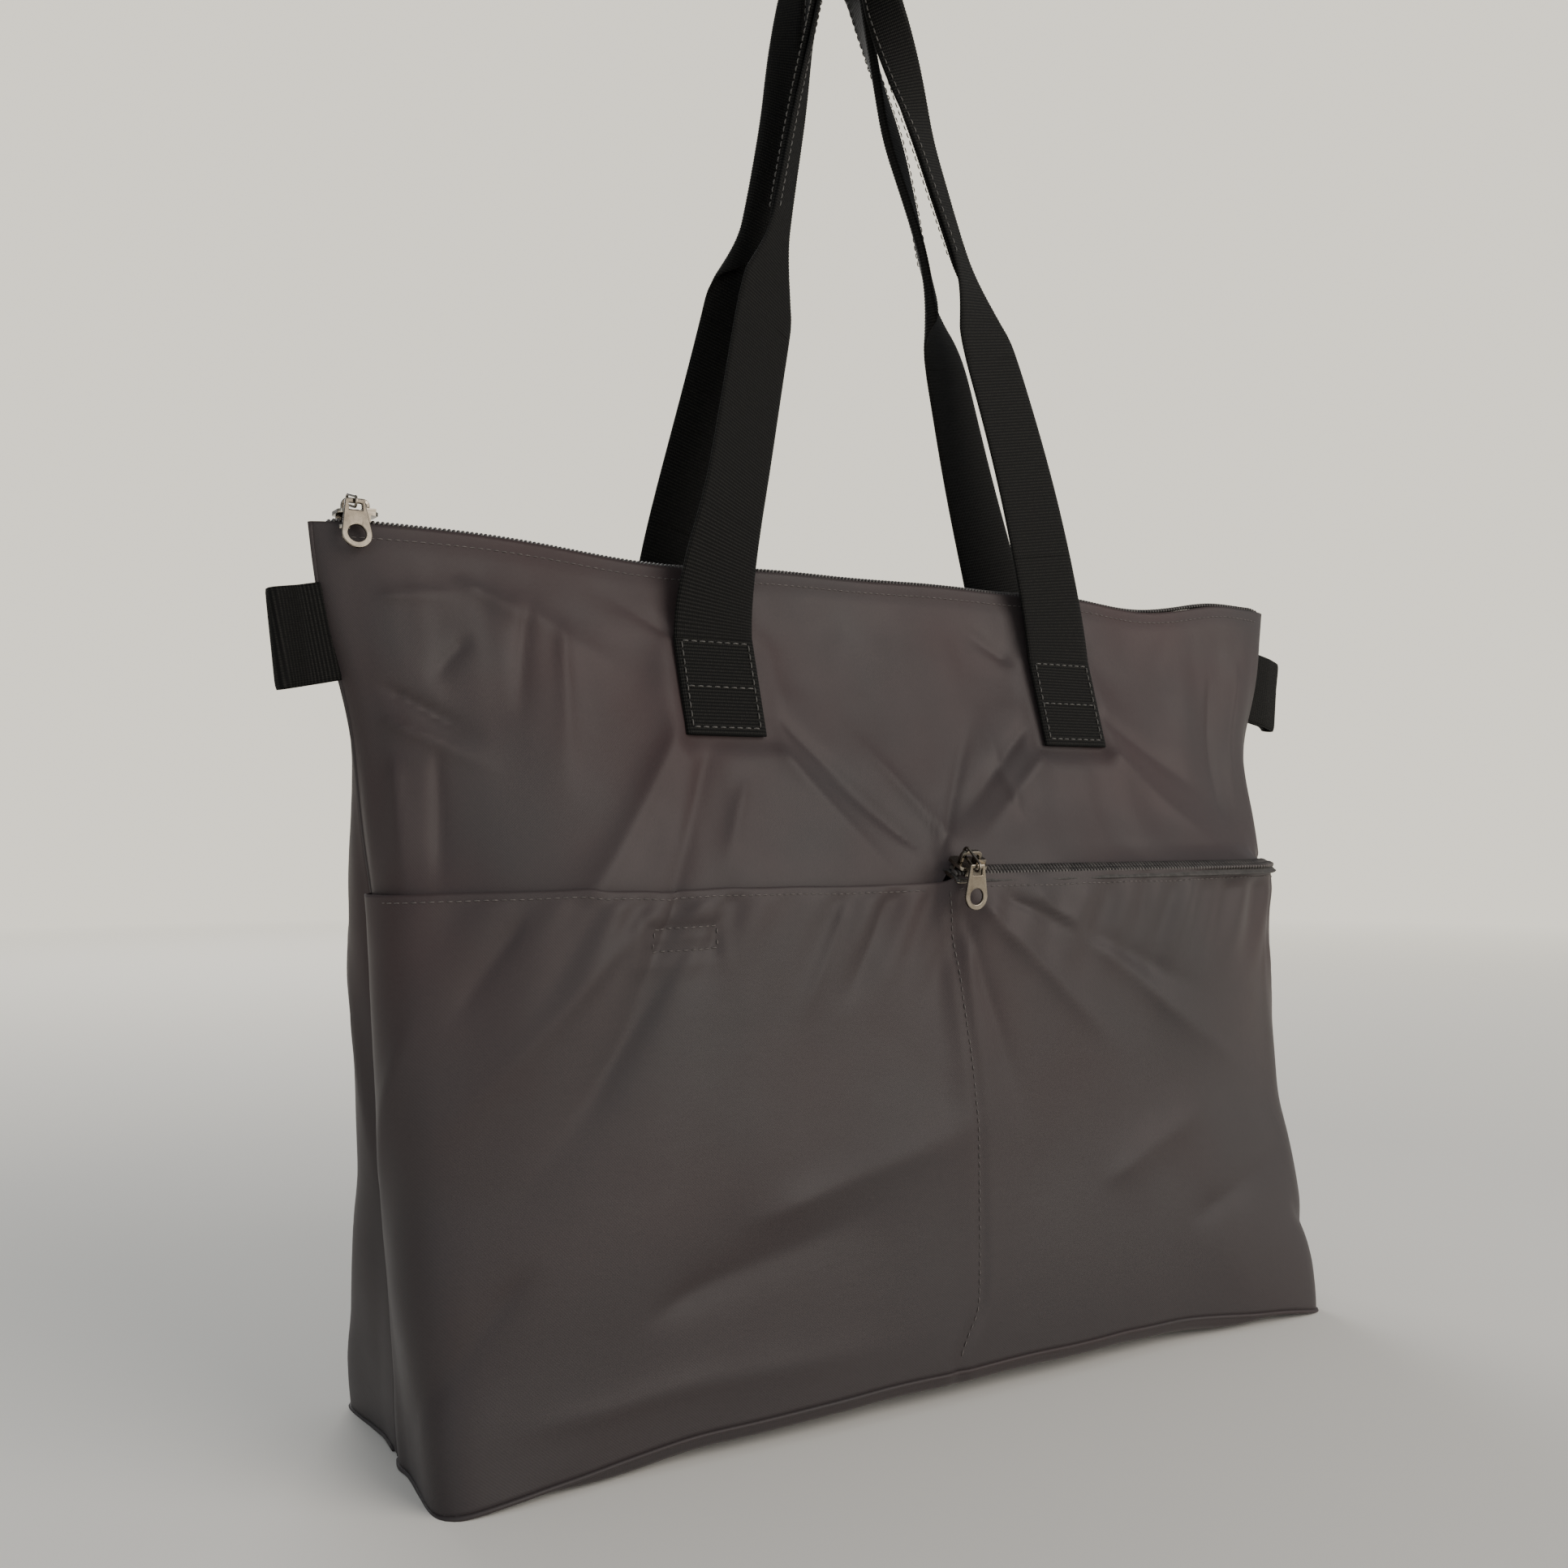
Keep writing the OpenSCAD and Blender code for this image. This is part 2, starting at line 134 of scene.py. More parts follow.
# Half depth of each panel at the base and at the pocket line, then of both at the top
FRONT_SHAPE = (-front_low[1], 41.5)
BACK_SHAPE = (BACK_BASE_D, 46.0)
TOP_D = 7.8
STRAP_X = (end_low[0] + end_high[0]) / 2
STRAP_W = end_high[0] - end_low[0]
STRAP_T = 1.8
STRAP_LOW = end_low[2]
STRAP_ROW = end_high[2]
# How far the pocket's edge stands off the front: where it is open, and under the zip
ZIP_SLIP = 3.2
ZIP_LEDGE = 8.0
ZIP_END = 185.0
ZIP_X = np.linspace(0.5, ZIP_END, 190)
FLAT_HALF_W = 220
# Height of the front panel's lower edge behind the zip, and left of it inside the open pocket
ZIP_BACK_Z = mm_box("pocket_zip_tape_upper")[1][2] - 0.9
HEM_LEFT = POCKET_H - 6
# Left, right, low and high edges of the seam round the small fastener
PATCH_SEAM = (-112, -89, 154, 161)


# ---- the body's rest shape

def half_width(z):
    return BASE_HALF_W + (TOP_HALF_W - BASE_HALF_W) * z / BODY_H


def upper(z):
    return np.clip((z - POCKET_H) / (BODY_H - POCKET_H), 0, 1)


LEVELS = np.linspace(0, BODY_H, 285)


def soft_curve(values, width=14):
    """A curve over the levels with its corners rounded and its ends kept."""
    values = np.asarray(values, float)
    base_line = values[0] + (values[-1] - values[0]) * LEVELS / BODY_H
    edge = np.minimum(LEVELS, BODY_H - LEVELS)
    share = ease(0, 1.5 * width, edge)
    return values * (1 - share) + (smooth(values - base_line, width) + base_line) * share


def panel_levels(base, pocket):
    """Half depth up a panel: straight to the pocket line, then leaning in, rolled in at the top hem."""
    low = base + (pocket - base) * LEVELS / POCKET_H
    high = TOP_D + (pocket - TOP_D) * (1 - upper(LEVELS)) ** 1.25
    levels = soft_curve(np.where(LEVELS <= POCKET_H, low, high))
    return levels - 1.5 * ease(BODY_H - 9, BODY_H + 1, LEVELS)


POWER_AT = [0, 30, 80, POCKET_H, 230, BODY_H]
ACROSS_POWER = soft_curve(np.interp(LEVELS, POWER_AT, [24, 9, 5, 4.2, 5, 14]))
DEPTH_POWER = soft_curve(np.interp(LEVELS, POWER_AT, [24, 8, 3.2, 2.0, 1.7, 1.6]))


def side_groove(z):
    return 7.0 * ease(4, 90, z) * (1 - ease(150, 262, z))


def quarter(z, depth):
    """Plan curve at height z from the middle of the panel to the side seam, in the first quadrant."""
    v = np.linspace(0, 1, 700)
    u = 1 - (1 - v) ** 4
    x = half_width(z) * u
    across_power = np.interp(z, LEVELS, ACROSS_POWER)
    y = depth * (1 - u ** across_power) ** (1 / np.interp(z, LEVELS, DEPTH_POWER))
    x = x - side_groove(z) * (bell(y, 0, 15) + 0.3 * bell(y, 0, 4))
    return x, y


def rest_grid(shares, heights, shape):
    """Panel points at equal shares of the plan curve's length, -1 at the left seam and 1 at the right."""
    grid = np.zeros((len(heights), len(shares), 3))
    depths = panel_levels(*shape)
    for j, z in enumerate(heights):
        x, y = quarter(z, float(np.interp(z, LEVELS, depths)))
        run = np.concatenate([[0], np.cumsum(np.hypot(np.diff(x), np.diff(y)))])
        at = np.abs(shares) * run[-1]
        grid[j, :, 0] = np.sign(shares) * np.interp(at, run, x)
        grid[j, :, 1] = -np.interp(at, run, y)
        grid[j, :, 2] = z
    return grid


def base_lift(x):
    """The base hangs from its four corners' seams and rises in the middle."""
    share = np.clip(np.abs(x) / BASE_HALF_W, 0, 1)
    return (9.5 + 1.5 * x / BASE_HALF_W) * (1 - share ** 2.6)


def top_wave(x):
    """Height of the top edge above or below the CAD's straight edge."""
    dips = ((-92, 42, -4.6), (-10, 50, -3.2), (62, 34, -2.6), (128, 32, -5.2), (172, 16, 1.0))
    return sum(height * bell(x, middle, width) for middle, width, height in dips)


def hem_wave(x):
    """How far the top edge wanders to the front and back."""
    return 0.9 * np.sin(x / 58.0 + 0.4) * (1 - ease(180, 200, np.abs(x)))


def place(points):
    """Adds the slow hang of the whole body: the lifted base, the waved top and the pinched right side."""
    x, y, z = points[..., 0], points[..., 1], points[..., 2]
    out = points.copy()
    out[..., 2] = z + base_lift(x) * (1 - ease(0, 120, z)) + top_wave(x) * ease(215, BODY_H, z)
    pinch = 6.0 * bell(z, 222, 26) * ease(140, 200, x) + 4.0 * bell(z, 225, 30) * ease(-150, -200, x)
    pinch = pinch + (7.0 * bell(z, 138, 30) - 3.0 * bell(z, POCKET_H - 5, 8)) * ease(140, 196, x)
    out[..., 0] = x - np.sign(x) * pinch
    out[..., 1] = y + hem_wave(x) * ease(225, BODY_H, z)
    return out


# ---- grids of points

def normals_of(grid):
    side = np.gradient(grid, axis=1)
    up = np.gradient(grid, axis=0)
    return unit(np.cross(side, up))


def resample(grid, rows, cols):
    """Smoothly resamples a grid of points to a new number of rows and columns."""
    def along(a, count):
        n = a.shape[0]
        t = np.linspace(0, n - 1, count)
        k = np.clip(t.astype(int), 0, n - 2)
        f = (t - k).reshape((-1,) + (1,) * (a.ndim - 1))
        p0, p1 = a[np.clip(k - 1, 0, n - 1)], a[k]
        p2, p3 = a[k + 1], a[np.clip(k + 2, 0, n - 1)]
        return 0.5 * (2 * p1 + (p2 - p0) * f + (2 * p0 - 5 * p1 + 4 * p2 - p3) * f ** 2
                      + (3 * p1 - p0 - 3 * p2 + p3) * f ** 3)
    return np.swapaxes(along(np.swapaxes(along(grid, rows), 0, 1), cols), 0, 1)


class Sheet:
    """A sewn panel: its flat map (share across, height) and the points the cloth took."""

    def __init__(self, shares, heights, rest, points):
        self.shares = shares
        self.heights = heights
        self.rest = rest
        self.points = points
        self.normals = normals_of(points)

    def share_at(self, x, z):
        j = int(np.clip(np.searchsorted(self.heights, z), 0, len(self.heights) - 1))
        return float(np.interp(x, self.rest[j, :, 0], self.shares))

    def at(self, share, height, lift=0.0):
        """The point at a share and a height, raised off the cloth by lift."""
        u = np.interp(share, self.shares, np.arange(len(self.shares)))
        v = np.interp(height, self.heights, np.arange(len(self.heights)))
        i = np.clip(u.astype(int), 0, len(self.shares) - 2)
        j = np.clip(v.astype(int), 0, len(self.heights) - 2)
        fu, fv = (u - i)[..., None], (v - j)[..., None]

        def mix(a):
            low = a[j, i] * (1 - fu) + a[j, i + 1] * fu
            high = a[j + 1, i] * (1 - fu) + a[j + 1, i + 1] * fu
            return low * (1 - fv) + high * fv
        normal = unit(mix(self.normals))
        return mix(self.points) + normal * lift, normal

    def along(self, xs, zs, lift=0.0):
        """Points over the flat places (xs, zs); either may be one number."""
        xs, zs = np.broadcast_arrays(np.asarray(xs, float), zs)
        shares = np.array([self.share_at(x, z) for x, z in zip(xs, zs)])
        return self.at(shares, zs, lift)


# ---- meshes

def quad_grid(rows, cols, start=0, flip=False, wrap=False):
    j, i = np.meshgrid(np.arange(rows - 1), np.arange(cols if wrap else cols - 1), indexing="ij")
    k = (i + 1) % cols
    quads = np.stack([j * cols + i, j * cols + k, (j + 1) * cols + k, (j + 1) * cols + i], -1)
    quads = quads.reshape(-1, 4) + start
    return quads[:, ::-1] if flip else quads


def new_piece(name, points, faces, material, weave=None):
    """A smooth mesh object from points in millimetres."""
    mesh = bpy.data.meshes.new(name)
    mesh.from_pydata((np.asarray(points) * MM).tolist(), [], [list(map(int, f)) for f in faces])
    mesh.polygons.foreach_set("use_smooth", np.ones(len(mesh.polygons), bool))
    if weave is not None:
        mesh.attributes.new("weave", "FLOAT_VECTOR", "POINT")
        flat = np.zeros((len(points), 3), np.float32)
        flat[:, :2] = np.asarray(weave)[:, :2]
        mesh.attributes["weave"].data.foreach_set("vector", flat.ravel())
    mesh.update()
    piece = add_object(name, mesh)
    mesh.materials.append(material)
    return piece


def fit(piece, body, *nodes):
    """The piece moves with a body and takes the place of CAD nodes."""
    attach(piece, body)
    if nodes:
        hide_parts(*nodes)


def weld(piece):
    """Joins points that coincide, so that no face is left without area."""
    shape = bmesh.new()
    shape.from_mesh(piece.data)
    bmesh.ops.remove_doubles(shape, verts=shape.verts, dist=0.002 * MM)
    shape.to_mesh(piece.data)
    shape.free()
    return piece


def rims(half, edges):
    """Faces from the outer grid to the inner one, half a count further on, along pairs of neighbours."""
    return [np.stack([a, b, half + b, half + a], -1) for a, b in edges]


def shell_faces(rows, cols):
    """Faces of a closed slab: an outer grid, an inner grid and four rims."""
    half = rows * cols
    first = np.arange(cols - 1)
    last = first + half - cols
    left = np.arange(rows - 1) * cols
    right = left + cols - 1
    edges = ((first + 1, first), (last, last + 1), (left, left + cols), (right + cols, right))
    outer, inner = quad_grid(rows, cols), quad_grid(rows, cols, half, flip=True)
    return np.concatenate([outer, inner] + rims(half, edges))


def shell(name, outer, thick, material, weave):
    """A slab of cloth whose outer face is the grid."""
    inner = outer - normals_of(outer) * thick
    points = np.concatenate([outer.reshape(-1, 3), inner.reshape(-1, 3)])
    flat = np.concatenate([weave.reshape(-1, 2)] * 2)
    return weld(new_piece(name, points, shell_faces(*outer.shape[:2]), material, flat))


def swept(name, rings, material, weave):
    """A solid swept through rings of points, capped at both ends."""
    rows, cols = rings.shape[:2]
    faces = quad_grid(rows, cols, wrap=True).tolist()
    faces.append(list(range(cols))[::-1])
    faces.append(list(range((rows - 1) * cols, rows * cols)))
    return weld(new_piece(name, rings.reshape(-1, 3), faces, material, weave))


# ---- thread

def circles(centres, across, over, count):
    """A ring of points round each centre, in the plane of two vectors."""
    angles = (np.arange(count) * 2 * math.pi / count)[:, None]
    return centres[:, None] + np.cos(angles) * across[:, None] + np.sin(angles) * over[:, None]


def capsule_faces(count, rows, ring, flips=(False,)):
    """Faces of closed capsules; flips tells in turn which have their rings the other way round."""
    faces = []
    for n in range(count):
        base = n * rows * ring
        flip = flips[n % len(flips)]
        first = np.arange(ring)
        last = np.arange((rows - 1) * ring, rows * ring)[::-1]
        faces += quad_grid(rows, ring, base, flip, wrap=True).tolist()
        faces += [(base + (end if flip else end[::-1])).tolist() for end in (first, last)]
    return faces


# Share of a stitch's length, thickness and rise, from one end to the other
STITCH = np.array([
    (0.0, 0.25, -1.3), (0.12, 0.85, -0.35), (0.5, 1.0, 0.1), (0.88, 0.85, -0.35), (1.0, 0.25, -1.3)
])
THREAD_SIDES = 6


def thread_run(points, normals, pitch, length, radius):
    """Stitches along a path: short arched capsules whose ends dip into the cloth."""
    run = run_along(points)
    count = max(1, int(run[-1] / pitch))
    starts = (np.arange(count) + 0.5) * run[-1] / count - length / 2
    share, size, rise = np.tile(STITCH, (count, 1)).T
    at = np.repeat(starts, len(STITCH)) + share * length
    normal = unit(sample(at, run, normals))
    near = 0.3
    along = unit(sample(at + near, run, points) - sample(at - near, run, points))
    side = unit(np.cross(normal, along))
    centre = sample(at, run, points) + normal * radius * (rise + 0.35)[:, None]
    thick = radius * size[:, None]
    rings = circles(centre, side * thick, normal * thick, THREAD_SIDES)
    return rings.reshape(-1, 3), capsule_faces(count, len(STITCH), THREAD_SIDES)


def stitch_piece(name, body, runs, material, pitch=2.9, length=2.2, radius=0.24):
    points, faces = [], []
    for path, normals in runs:
        p, f = thread_run(np.asarray(path), np.asarray(normals), pitch, length, radius)
        offset = sum(len(q) for q in points)
        points.append(p)
        faces += [[v + offset for v in face] for face in f]
    fit(new_piece(name, np.concatenate(points), faces, material), body)


# ---- materials

def node_material(name):
    material = bpy.data.materials.new(name)
    material.use_nodes = True
    tree = material.node_tree
    return material, tree, tree.nodes["Principled BSDF"]


def put(tree, socket, value):
    """Sets a socket to a number or a colour, or links another socket to it."""
    if isinstance(value, bpy.types.NodeSocket):
        tree.links.new(value, socket)
    elif isinstance(value, tuple) and len(value) < len(socket.default_value):
        socket.default_value = value + (1.0,)
    else:
        socket.default_value = value


def set_inputs(tree, node, **values):
    """Sets a node's inputs; an underscore in a name stands for a space."""
    for key, value in values.items():
        put(tree, node.inputs[key.replace("_", " ")], value)


def math_node(tree, operation, a, b=0.5):
    node = tree.nodes.new("ShaderNodeMath")
    node.operation = operation
    put(tree, node.inputs[0], a)
    put(tree, node.inputs[1], b)
    return node.outputs[0]


def times(tree, a, b):
    return math_node(tree, "MULTIPLY", a, b)


def object_coords(tree):
    return tree.nodes.new("ShaderNodeTexCoord").outputs["Object"]


def weave_coords(tree):
    node = tree.nodes.new("ShaderNodeAttribute")
    node.attribute_name = "weave"
    return node.outputs["Vector"]


def noise(tree, vector, scale, detail=3.0, roughness=0.5):
    """Noise over a vector stretched by scale, one number or three."""
    stretch = tree.nodes.new("ShaderNodeMapping")
    set_inputs(tree, stretch, Scale=scale if isinstance(scale, tuple) else (scale,) * 3, Vector=vector)
    node = tree.nodes.new("ShaderNodeTexNoise")
    vector = stretch.outputs["Vector"]
    set_inputs(tree, node, Scale=1.0, Detail=detail, Roughness=roughness, Vector=vector)
    return node.outputs["Fac"]


def ramp(tree, source, low, high, at_low=0.0, at_high=1.0):
    node = tree.nodes.new("ShaderNodeMapRange")
    set_inputs(tree, node, From_Min=low, From_Max=high, To_Min=at_low, To_Max=at_high, Value=source)
    return node.outputs["Result"]


def mix_colour(tree, factor, a, b):
    node = tree.nodes.new("ShaderNodeMix")
    node.data_type = "RGBA"
    for index, value in ((0, factor), (6, a), (7, b)):
        put(tree, node.inputs[index], value)
    return node.outputs[2]


def bump(tree, shader, height, distance, strength=1.0, below=None):
    node = tree.nodes.new("ShaderNodeBump")
    set_inputs(tree, node, Strength=strength, Distance=distance, Height=height)
    if below is not None:
        put(tree, node.inputs["Normal"], below)
    put(tree, shader.inputs["Normal"], node.outputs["Normal"])
    return node.outputs["Normal"]


def axes_of(tree, vector):
    node = tree.nodes.new("ShaderNodeSeparateXYZ")
    put(tree, node.inputs["Vector"], vector)
    return node.outputs


def wave(tree, axis, length):
    """A sine along an axis, with the given length."""
    return math_node(tree, "SINE", times(tree, axis, 2 * math.pi / length))


def plain_weave(tree, vector, pitch):
    """Threads over and under, as a height from 0 to 1."""
    axes = axes_of(tree, vector)
    crossing = times(tree, wave(tree, axes["X"], 2 * pitch), wave(tree, axes["Y"], 2 * pitch))
    return math_node(tree, "ADD", times(tree, crossing, 0.5), 0.5)


def nylon_material():
    """Coated nylon taffeta: a fine plain weave, slow colour drift that grows warmer towards the top (partly
    the cloth's own colour, partly a painted colour cast of the light), and a broad soft sheen.
    """
    material, tree, shader = node_material("nylon_taffeta")
    flat = weave_coords(tree)
    # Warmer towards the top: partly the cloth's own drift, partly a painted colour cast of the light
    upward = ramp(tree, axes_of(tree, flat)["Y"], 40, 210, 0.15, 0.85)
    warmth_and_light_cast = times(tree, ramp(tree, noise(tree, flat, 0.011), 0.35, 0.68), upward)
    drift = mix_colour(tree, warmth_and_light_cast, (0.0370, 0.0315, 0.0325), (0.0430, 0.0235, 0.0240))
    fleck = ramp(tree, noise(tree, flat, 0.9, 2), 0.3, 0.75, 0.0, 0.2)
    rough = ramp(tree, noise(tree, flat, 0.03, 4), 0.3, 0.7, 0.50, 0.58)
    colour = mix_colour(tree, fleck, drift, (0.054, 0.042, 0.041))
    set_inputs(tree, shader, Base_Color=colour, Roughness=rough, Specular_IOR_Level=0.30,
               Sheen_Weight=0.06, Sheen_Roughness=0.45, Sheen_Tint=(0.86, 0.80, 0.78))
    below = bump(tree, shader, noise(tree, flat, (0.05, 0.085, 0.05), 5, 0.55), 0.0005, 0.35)
    bump(tree, shader, plain_weave(tree, flat, 0.42), 0.00004, 0.5, below)
    return material


def webbing_material(name, dark, light, rib):
    """Ribbed webbing: yarn ends along each rib, with painted shade between the ribs and between the yarn
    ends.
    """
    material, tree, shader = node_material(name)
    flat = weave_coords(tree)
    axes = axes_of(tree, flat)
    # Painted shade: the colour darkens between the ribs and lightens on their crests
    crest = ramp(tree, wave(tree, axes["Y"], rib), -0.2, 0.9)
    yarn_wave = wave(tree, axes["X"], 0.7)
    fuzz = noise(tree, flat, (1.4, 0.5, 1.0))
    worn = ramp(tree, fuzz, 0.35, 0.7, 0.4, 1.0)
    # Painted shade between the yarn ends across the width, over a random fibre tone
    yarn = times(tree, worn, ramp(tree, yarn_wave, -0.8, 0.4, 0.55, 1.0))
    lit = times(tree, crest, yarn)
    set_inputs(tree, shader, Base_Color=mix_colour(tree, lit, dark, light), Roughness=0.7,
               Specular_IOR_Level=0.16, Sheen_Weight=0.02)
    height = math_node(tree, "ADD", times(tree, yarn_wave, 0.5), fuzz)
    bump(tree, shader, height, 0.00012, 0.8)
    return material


def fuzzy_material(name, dark, light, scale, detail, roughness, depth, strength, sheen=0.0):
    """A plain fibre: one noise for the colour and the relief."""
    material, tree, shader = node_material(name)
    fuzz = noise(tree, object_coords(tree), scale, detail)
    set_inputs(tree, shader, Base_Color=mix_colour(tree, ramp(tree, fuzz, 0.3, 0.7), dark, light),
               Roughness=roughness, Sheen_Weight=sheen)
    bump(tree, shader, fuzz, depth, strength)
    return material


def tape_material():
    """Zip tape: a fine twill of dark grey yarn."""
    material, tree, shader = node_material("zip_tape_twill")
    flat = object_coords(tree)
    twill = tree.nodes.new("ShaderNodeTexWave")
    twill.bands_direction = "DIAGONAL"
    set_inputs(tree, twill, Scale=420, Vector=flat)
    fuzz = ramp(tree, noise(tree, flat, 600), 0.3, 0.7)
    colour = mix_colour(tree, fuzz, (0.030, 0.028, 0.027), (0.062, 0.057, 0.054))
    set_inputs(tree, shader, Base_Color=colour, Roughness=0.75)
    bump(tree, shader, twill.outputs["Fac"], 0.0001, 0.7)
    return material


def coil_material():
    """Dark nylon coil with a worn sheen on the crests."""
    material, tree, shader = node_material("nylon_coil")
    flat = object_coords(tree)
    cloud = noise(tree, flat, 220)
    colour = mix_colour(tree, ramp(tree, cloud, 0.3, 0.7), (0.05, 0.045, 0.043), (0.10, 0.09, 0.084))
    set_inputs(tree, shader, Base_Color=colour, Roughness=ramp(tree, cloud, 0.3, 0.7, 0.32, 0.48))
    bump(tree, shader, noise(tree, flat, 900, 2), 0.00005, 0.6)
    return material


def nickel_material():
    """Satin nickel plate: fine tumbling marks, warm drift, and a painted highlight that brightens the sharp
    edges.
    """
    material, tree, shader = node_material("satin_nickel")
    flat = object_coords(tree)
    cloud = ramp(tree, noise(tree, flat, 140), 0.35, 0.65)
    marks = noise(tree, flat, (700, 420, 700))
    edge = tree.nodes.new("ShaderNodeNewGeometry").outputs["Pointiness"]
    tone = mix_colour(tree, cloud, (0.115, 0.098, 0.076), (0.19, 0.165, 0.13))
    # Painted highlight: the colour brightens along sharp, pointy edges
    colour = mix_colour(tree, ramp(tree, edge, 0.52, 0.60, 0.0, 0.8), tone, (0.50, 0.455, 0.385))
    rough = ramp(tree, marks, 0.3, 0.7, 0.20, 0.30)
    set_inputs(tree, shader, Base_Color=colour, Metallic=1.0, Roughness=rough)
    bump(tree, shader, marks, 0.00001, 0.25)
    return material


# Length of one rib of the webbing, in millimetres
RIB = 1.2
NYLON = nylon_material()
WEBBING = webbing_material("ribbed_webbing", (0.0008, 0.0008, 0.0007), (0.017, 0.0165, 0.0145), RIB)
# Scale and detail of the fibre, roughness, depth and strength of its relief
THREAD_LOOK = (900, 2, 0.55, 0.00008, 0.7)
CLOTH_LOOK = (700, 4, 0.85, 0.0003, 0.8)
THREAD = fuzzy_material("sewing_thread", (0.034, 0.032, 0.029), (0.078, 0.072, 0.066), *THREAD_LOOK, 0.2)
DARK_THREAD = fuzzy_material("body_thread", (0.055, 0.048, 0.046), (0.125, 0.108, 0.102), *THREAD_LOOK)
TAPE = tape_material()
COIL = coil_material()
NICKEL = nickel_material()
BINDING = fuzzy_material("binding_tape", (0.012, 0.012, 0.012), (0.03, 0.03, 0.03), *CLOTH_LOOK)
HOOKS = fuzzy_material("hook_and_loop", (0.008, 0.008, 0.008), (0.022, 0.022, 0.022), *CLOTH_LOOK)


# ---- cloth simulation of the body

# Rows up the body, columns on half a panel, points round a ring and rings in the base
SIM_ROWS = 48
SIM_HALF = 40
SIM_RING = 4 * SIM_HALF
SIM_CAP = 9
# The furthest that a point may move, in millimetres
SIM_LIMIT = 13.0
SIM_FRAMES = 35
CLOTH = {
    "quality": 6, "mass": 0.12, "air_damping": 2.0, "vertex_group_mass": "held",
    "tension_stiffness": 25, "compression_stiffness": 12, "shear_stiffness": 4, "bending_stiffness": 0.35,
    "tension_damping": 8, "compression_damping": 8, "shear_damping": 8,
    "shrink_min": -0.03, "use_pressure": True, "uniform_pressure_force": 0.45
}


def ring_cap(ring, count, reach=1.0):
    """Points of the base: rings that shrink from the bottom seam towards a line down the middle."""
    spine = ring * np.array([(BASE_HALF_W - BACK_BASE_D) / BASE_HALF_W, 0, 1])
    shares = np.linspace(0, reach, count)[:, None, None]
    return ring[None] * (1 - shares) + spine[None] * shares


def strap_patch(x, z, margin):
    """1 inside a sewn strap end, falling to 0 outside it."""
    inside = np.zeros_like(x)
    for side in (-1, 1):
        dx = np.maximum(np.abs(x - side * STRAP_X) - STRAP_W / 2, 0)
        dz = np.maximum(np.abs(z - (STRAP_LOW + STRAP_ROW) / 2) - (STRAP_ROW - STRAP_LOW) / 2, 0)
        inside = np.maximum(inside, 1 - ease(0, margin, np.hypot(dx, dz)))
    return inside


def body_points():
    """The body at rest: a tube of rows round both panels, then the rings of the base."""
    shares = np.linspace(-1, 1, 2 * SIM_HALF + 1)
    heights = np.linspace(0, BODY_H, SIM_ROWS)
    front = rest_grid(shares, heights, FRONT_SHAPE)
    back = rest_grid(shares, heights, BACK_SHAPE)
    back[..., 1] *= -1
    around = np.concatenate([front, back[:, -2:0:-1]], axis=1)
    cap = ring_cap(around[0], SIM_CAP, 0.9)[1:]
    return np.concatenate([around.reshape(-1, 3), cap.reshape(-1, 3)])


def body_faces():
    tube = quad_grid(SIM_ROWS, SIM_RING, wrap=True)
    first = SIM_ROWS * SIM_RING
    i = np.arange(SIM_RING)
    k = (i + 1) % SIM_RING
    join = np.stack([k, i, first + i, first + k], -1)
    inner = quad_grid(SIM_CAP - 1, SIM_RING, first, flip=True, wrap=True)
    return np.concatenate([tube, join, inner]).tolist()


def add_cloth(body, points):
    """Cloth that is held along the top edge and at the strap ends."""
    held = strap_patch(points[:, 0], points[:, 2], 4.0)
    held = np.maximum(held, ease(BODY_H - 8, BODY_H - 3, points[:, 2]))
    group = body.vertex_groups.new(name="held")
    for index in np.nonzero(held > 0.02)[0]:
        group.add([int(index)], float(held[index]), "REPLACE")
    cloth = body.modifiers.new("cloth", "CLOTH")
    for key, value in CLOTH.items():
        setattr(cloth.settings, key, value)
    cloth.collision_settings.use_self_collision = False
    cloth.collision_settings.use_collision = False
    cloth.point_cache.frame_start = 1
    cloth.point_cache.frame_end = SIM_FRAMES + 5


def hang(points):
    """How far each point of the body moves when the cloth hangs, kept below a limit."""
    mesh = bpy.data.meshes.new("body_sim")
    mesh.from_pydata((points * MM).tolist(), [], body_faces())
    body = add_object("body_sim", mesh)
    add_cloth(body, points)
    scene = bpy.context.scene
    for number in range(1, SIM_FRAMES + 1):
        scene.frame_set(number)
    shape = body.evaluated_get(bpy.context.evaluated_depsgraph_get()).data
    moved = np.zeros(len(points) * 3)
    shape.vertices.foreach_get("co", moved)
    moved = moved.reshape(-1, 3) / MM - points
    bpy.data.objects.remove(body)
    scene.frame_set(1)
    size = np.linalg.norm(moved, axis=1, keepdims=True)
    return moved * (SIM_LIMIT * np.tanh(size / SIM_LIMIT) / np.maximum(size, 1e-9))


def simulate_body():
    """How far each coarse point of the front and the back moves in the hanging body."""
    moved = hang(body_points())[:SIM_ROWS * SIM_RING].reshape(SIM_ROWS, SIM_RING, 3)
    back = np.concatenate([moved[:, 2 * SIM_HALF:], moved[:, :1]], axis=1)
    return moved[:, :2 * SIM_HALF + 1], back[:, ::-1]


front_move, back_move = simulate_body()


# ---- sculpted folds, as the hanging cloth shows

FOLD_HEIGHT = 0.68
FOLD_GAIN = 0.6
PANEL_LEVELS = np.linspace(0, BODY_H, 143)

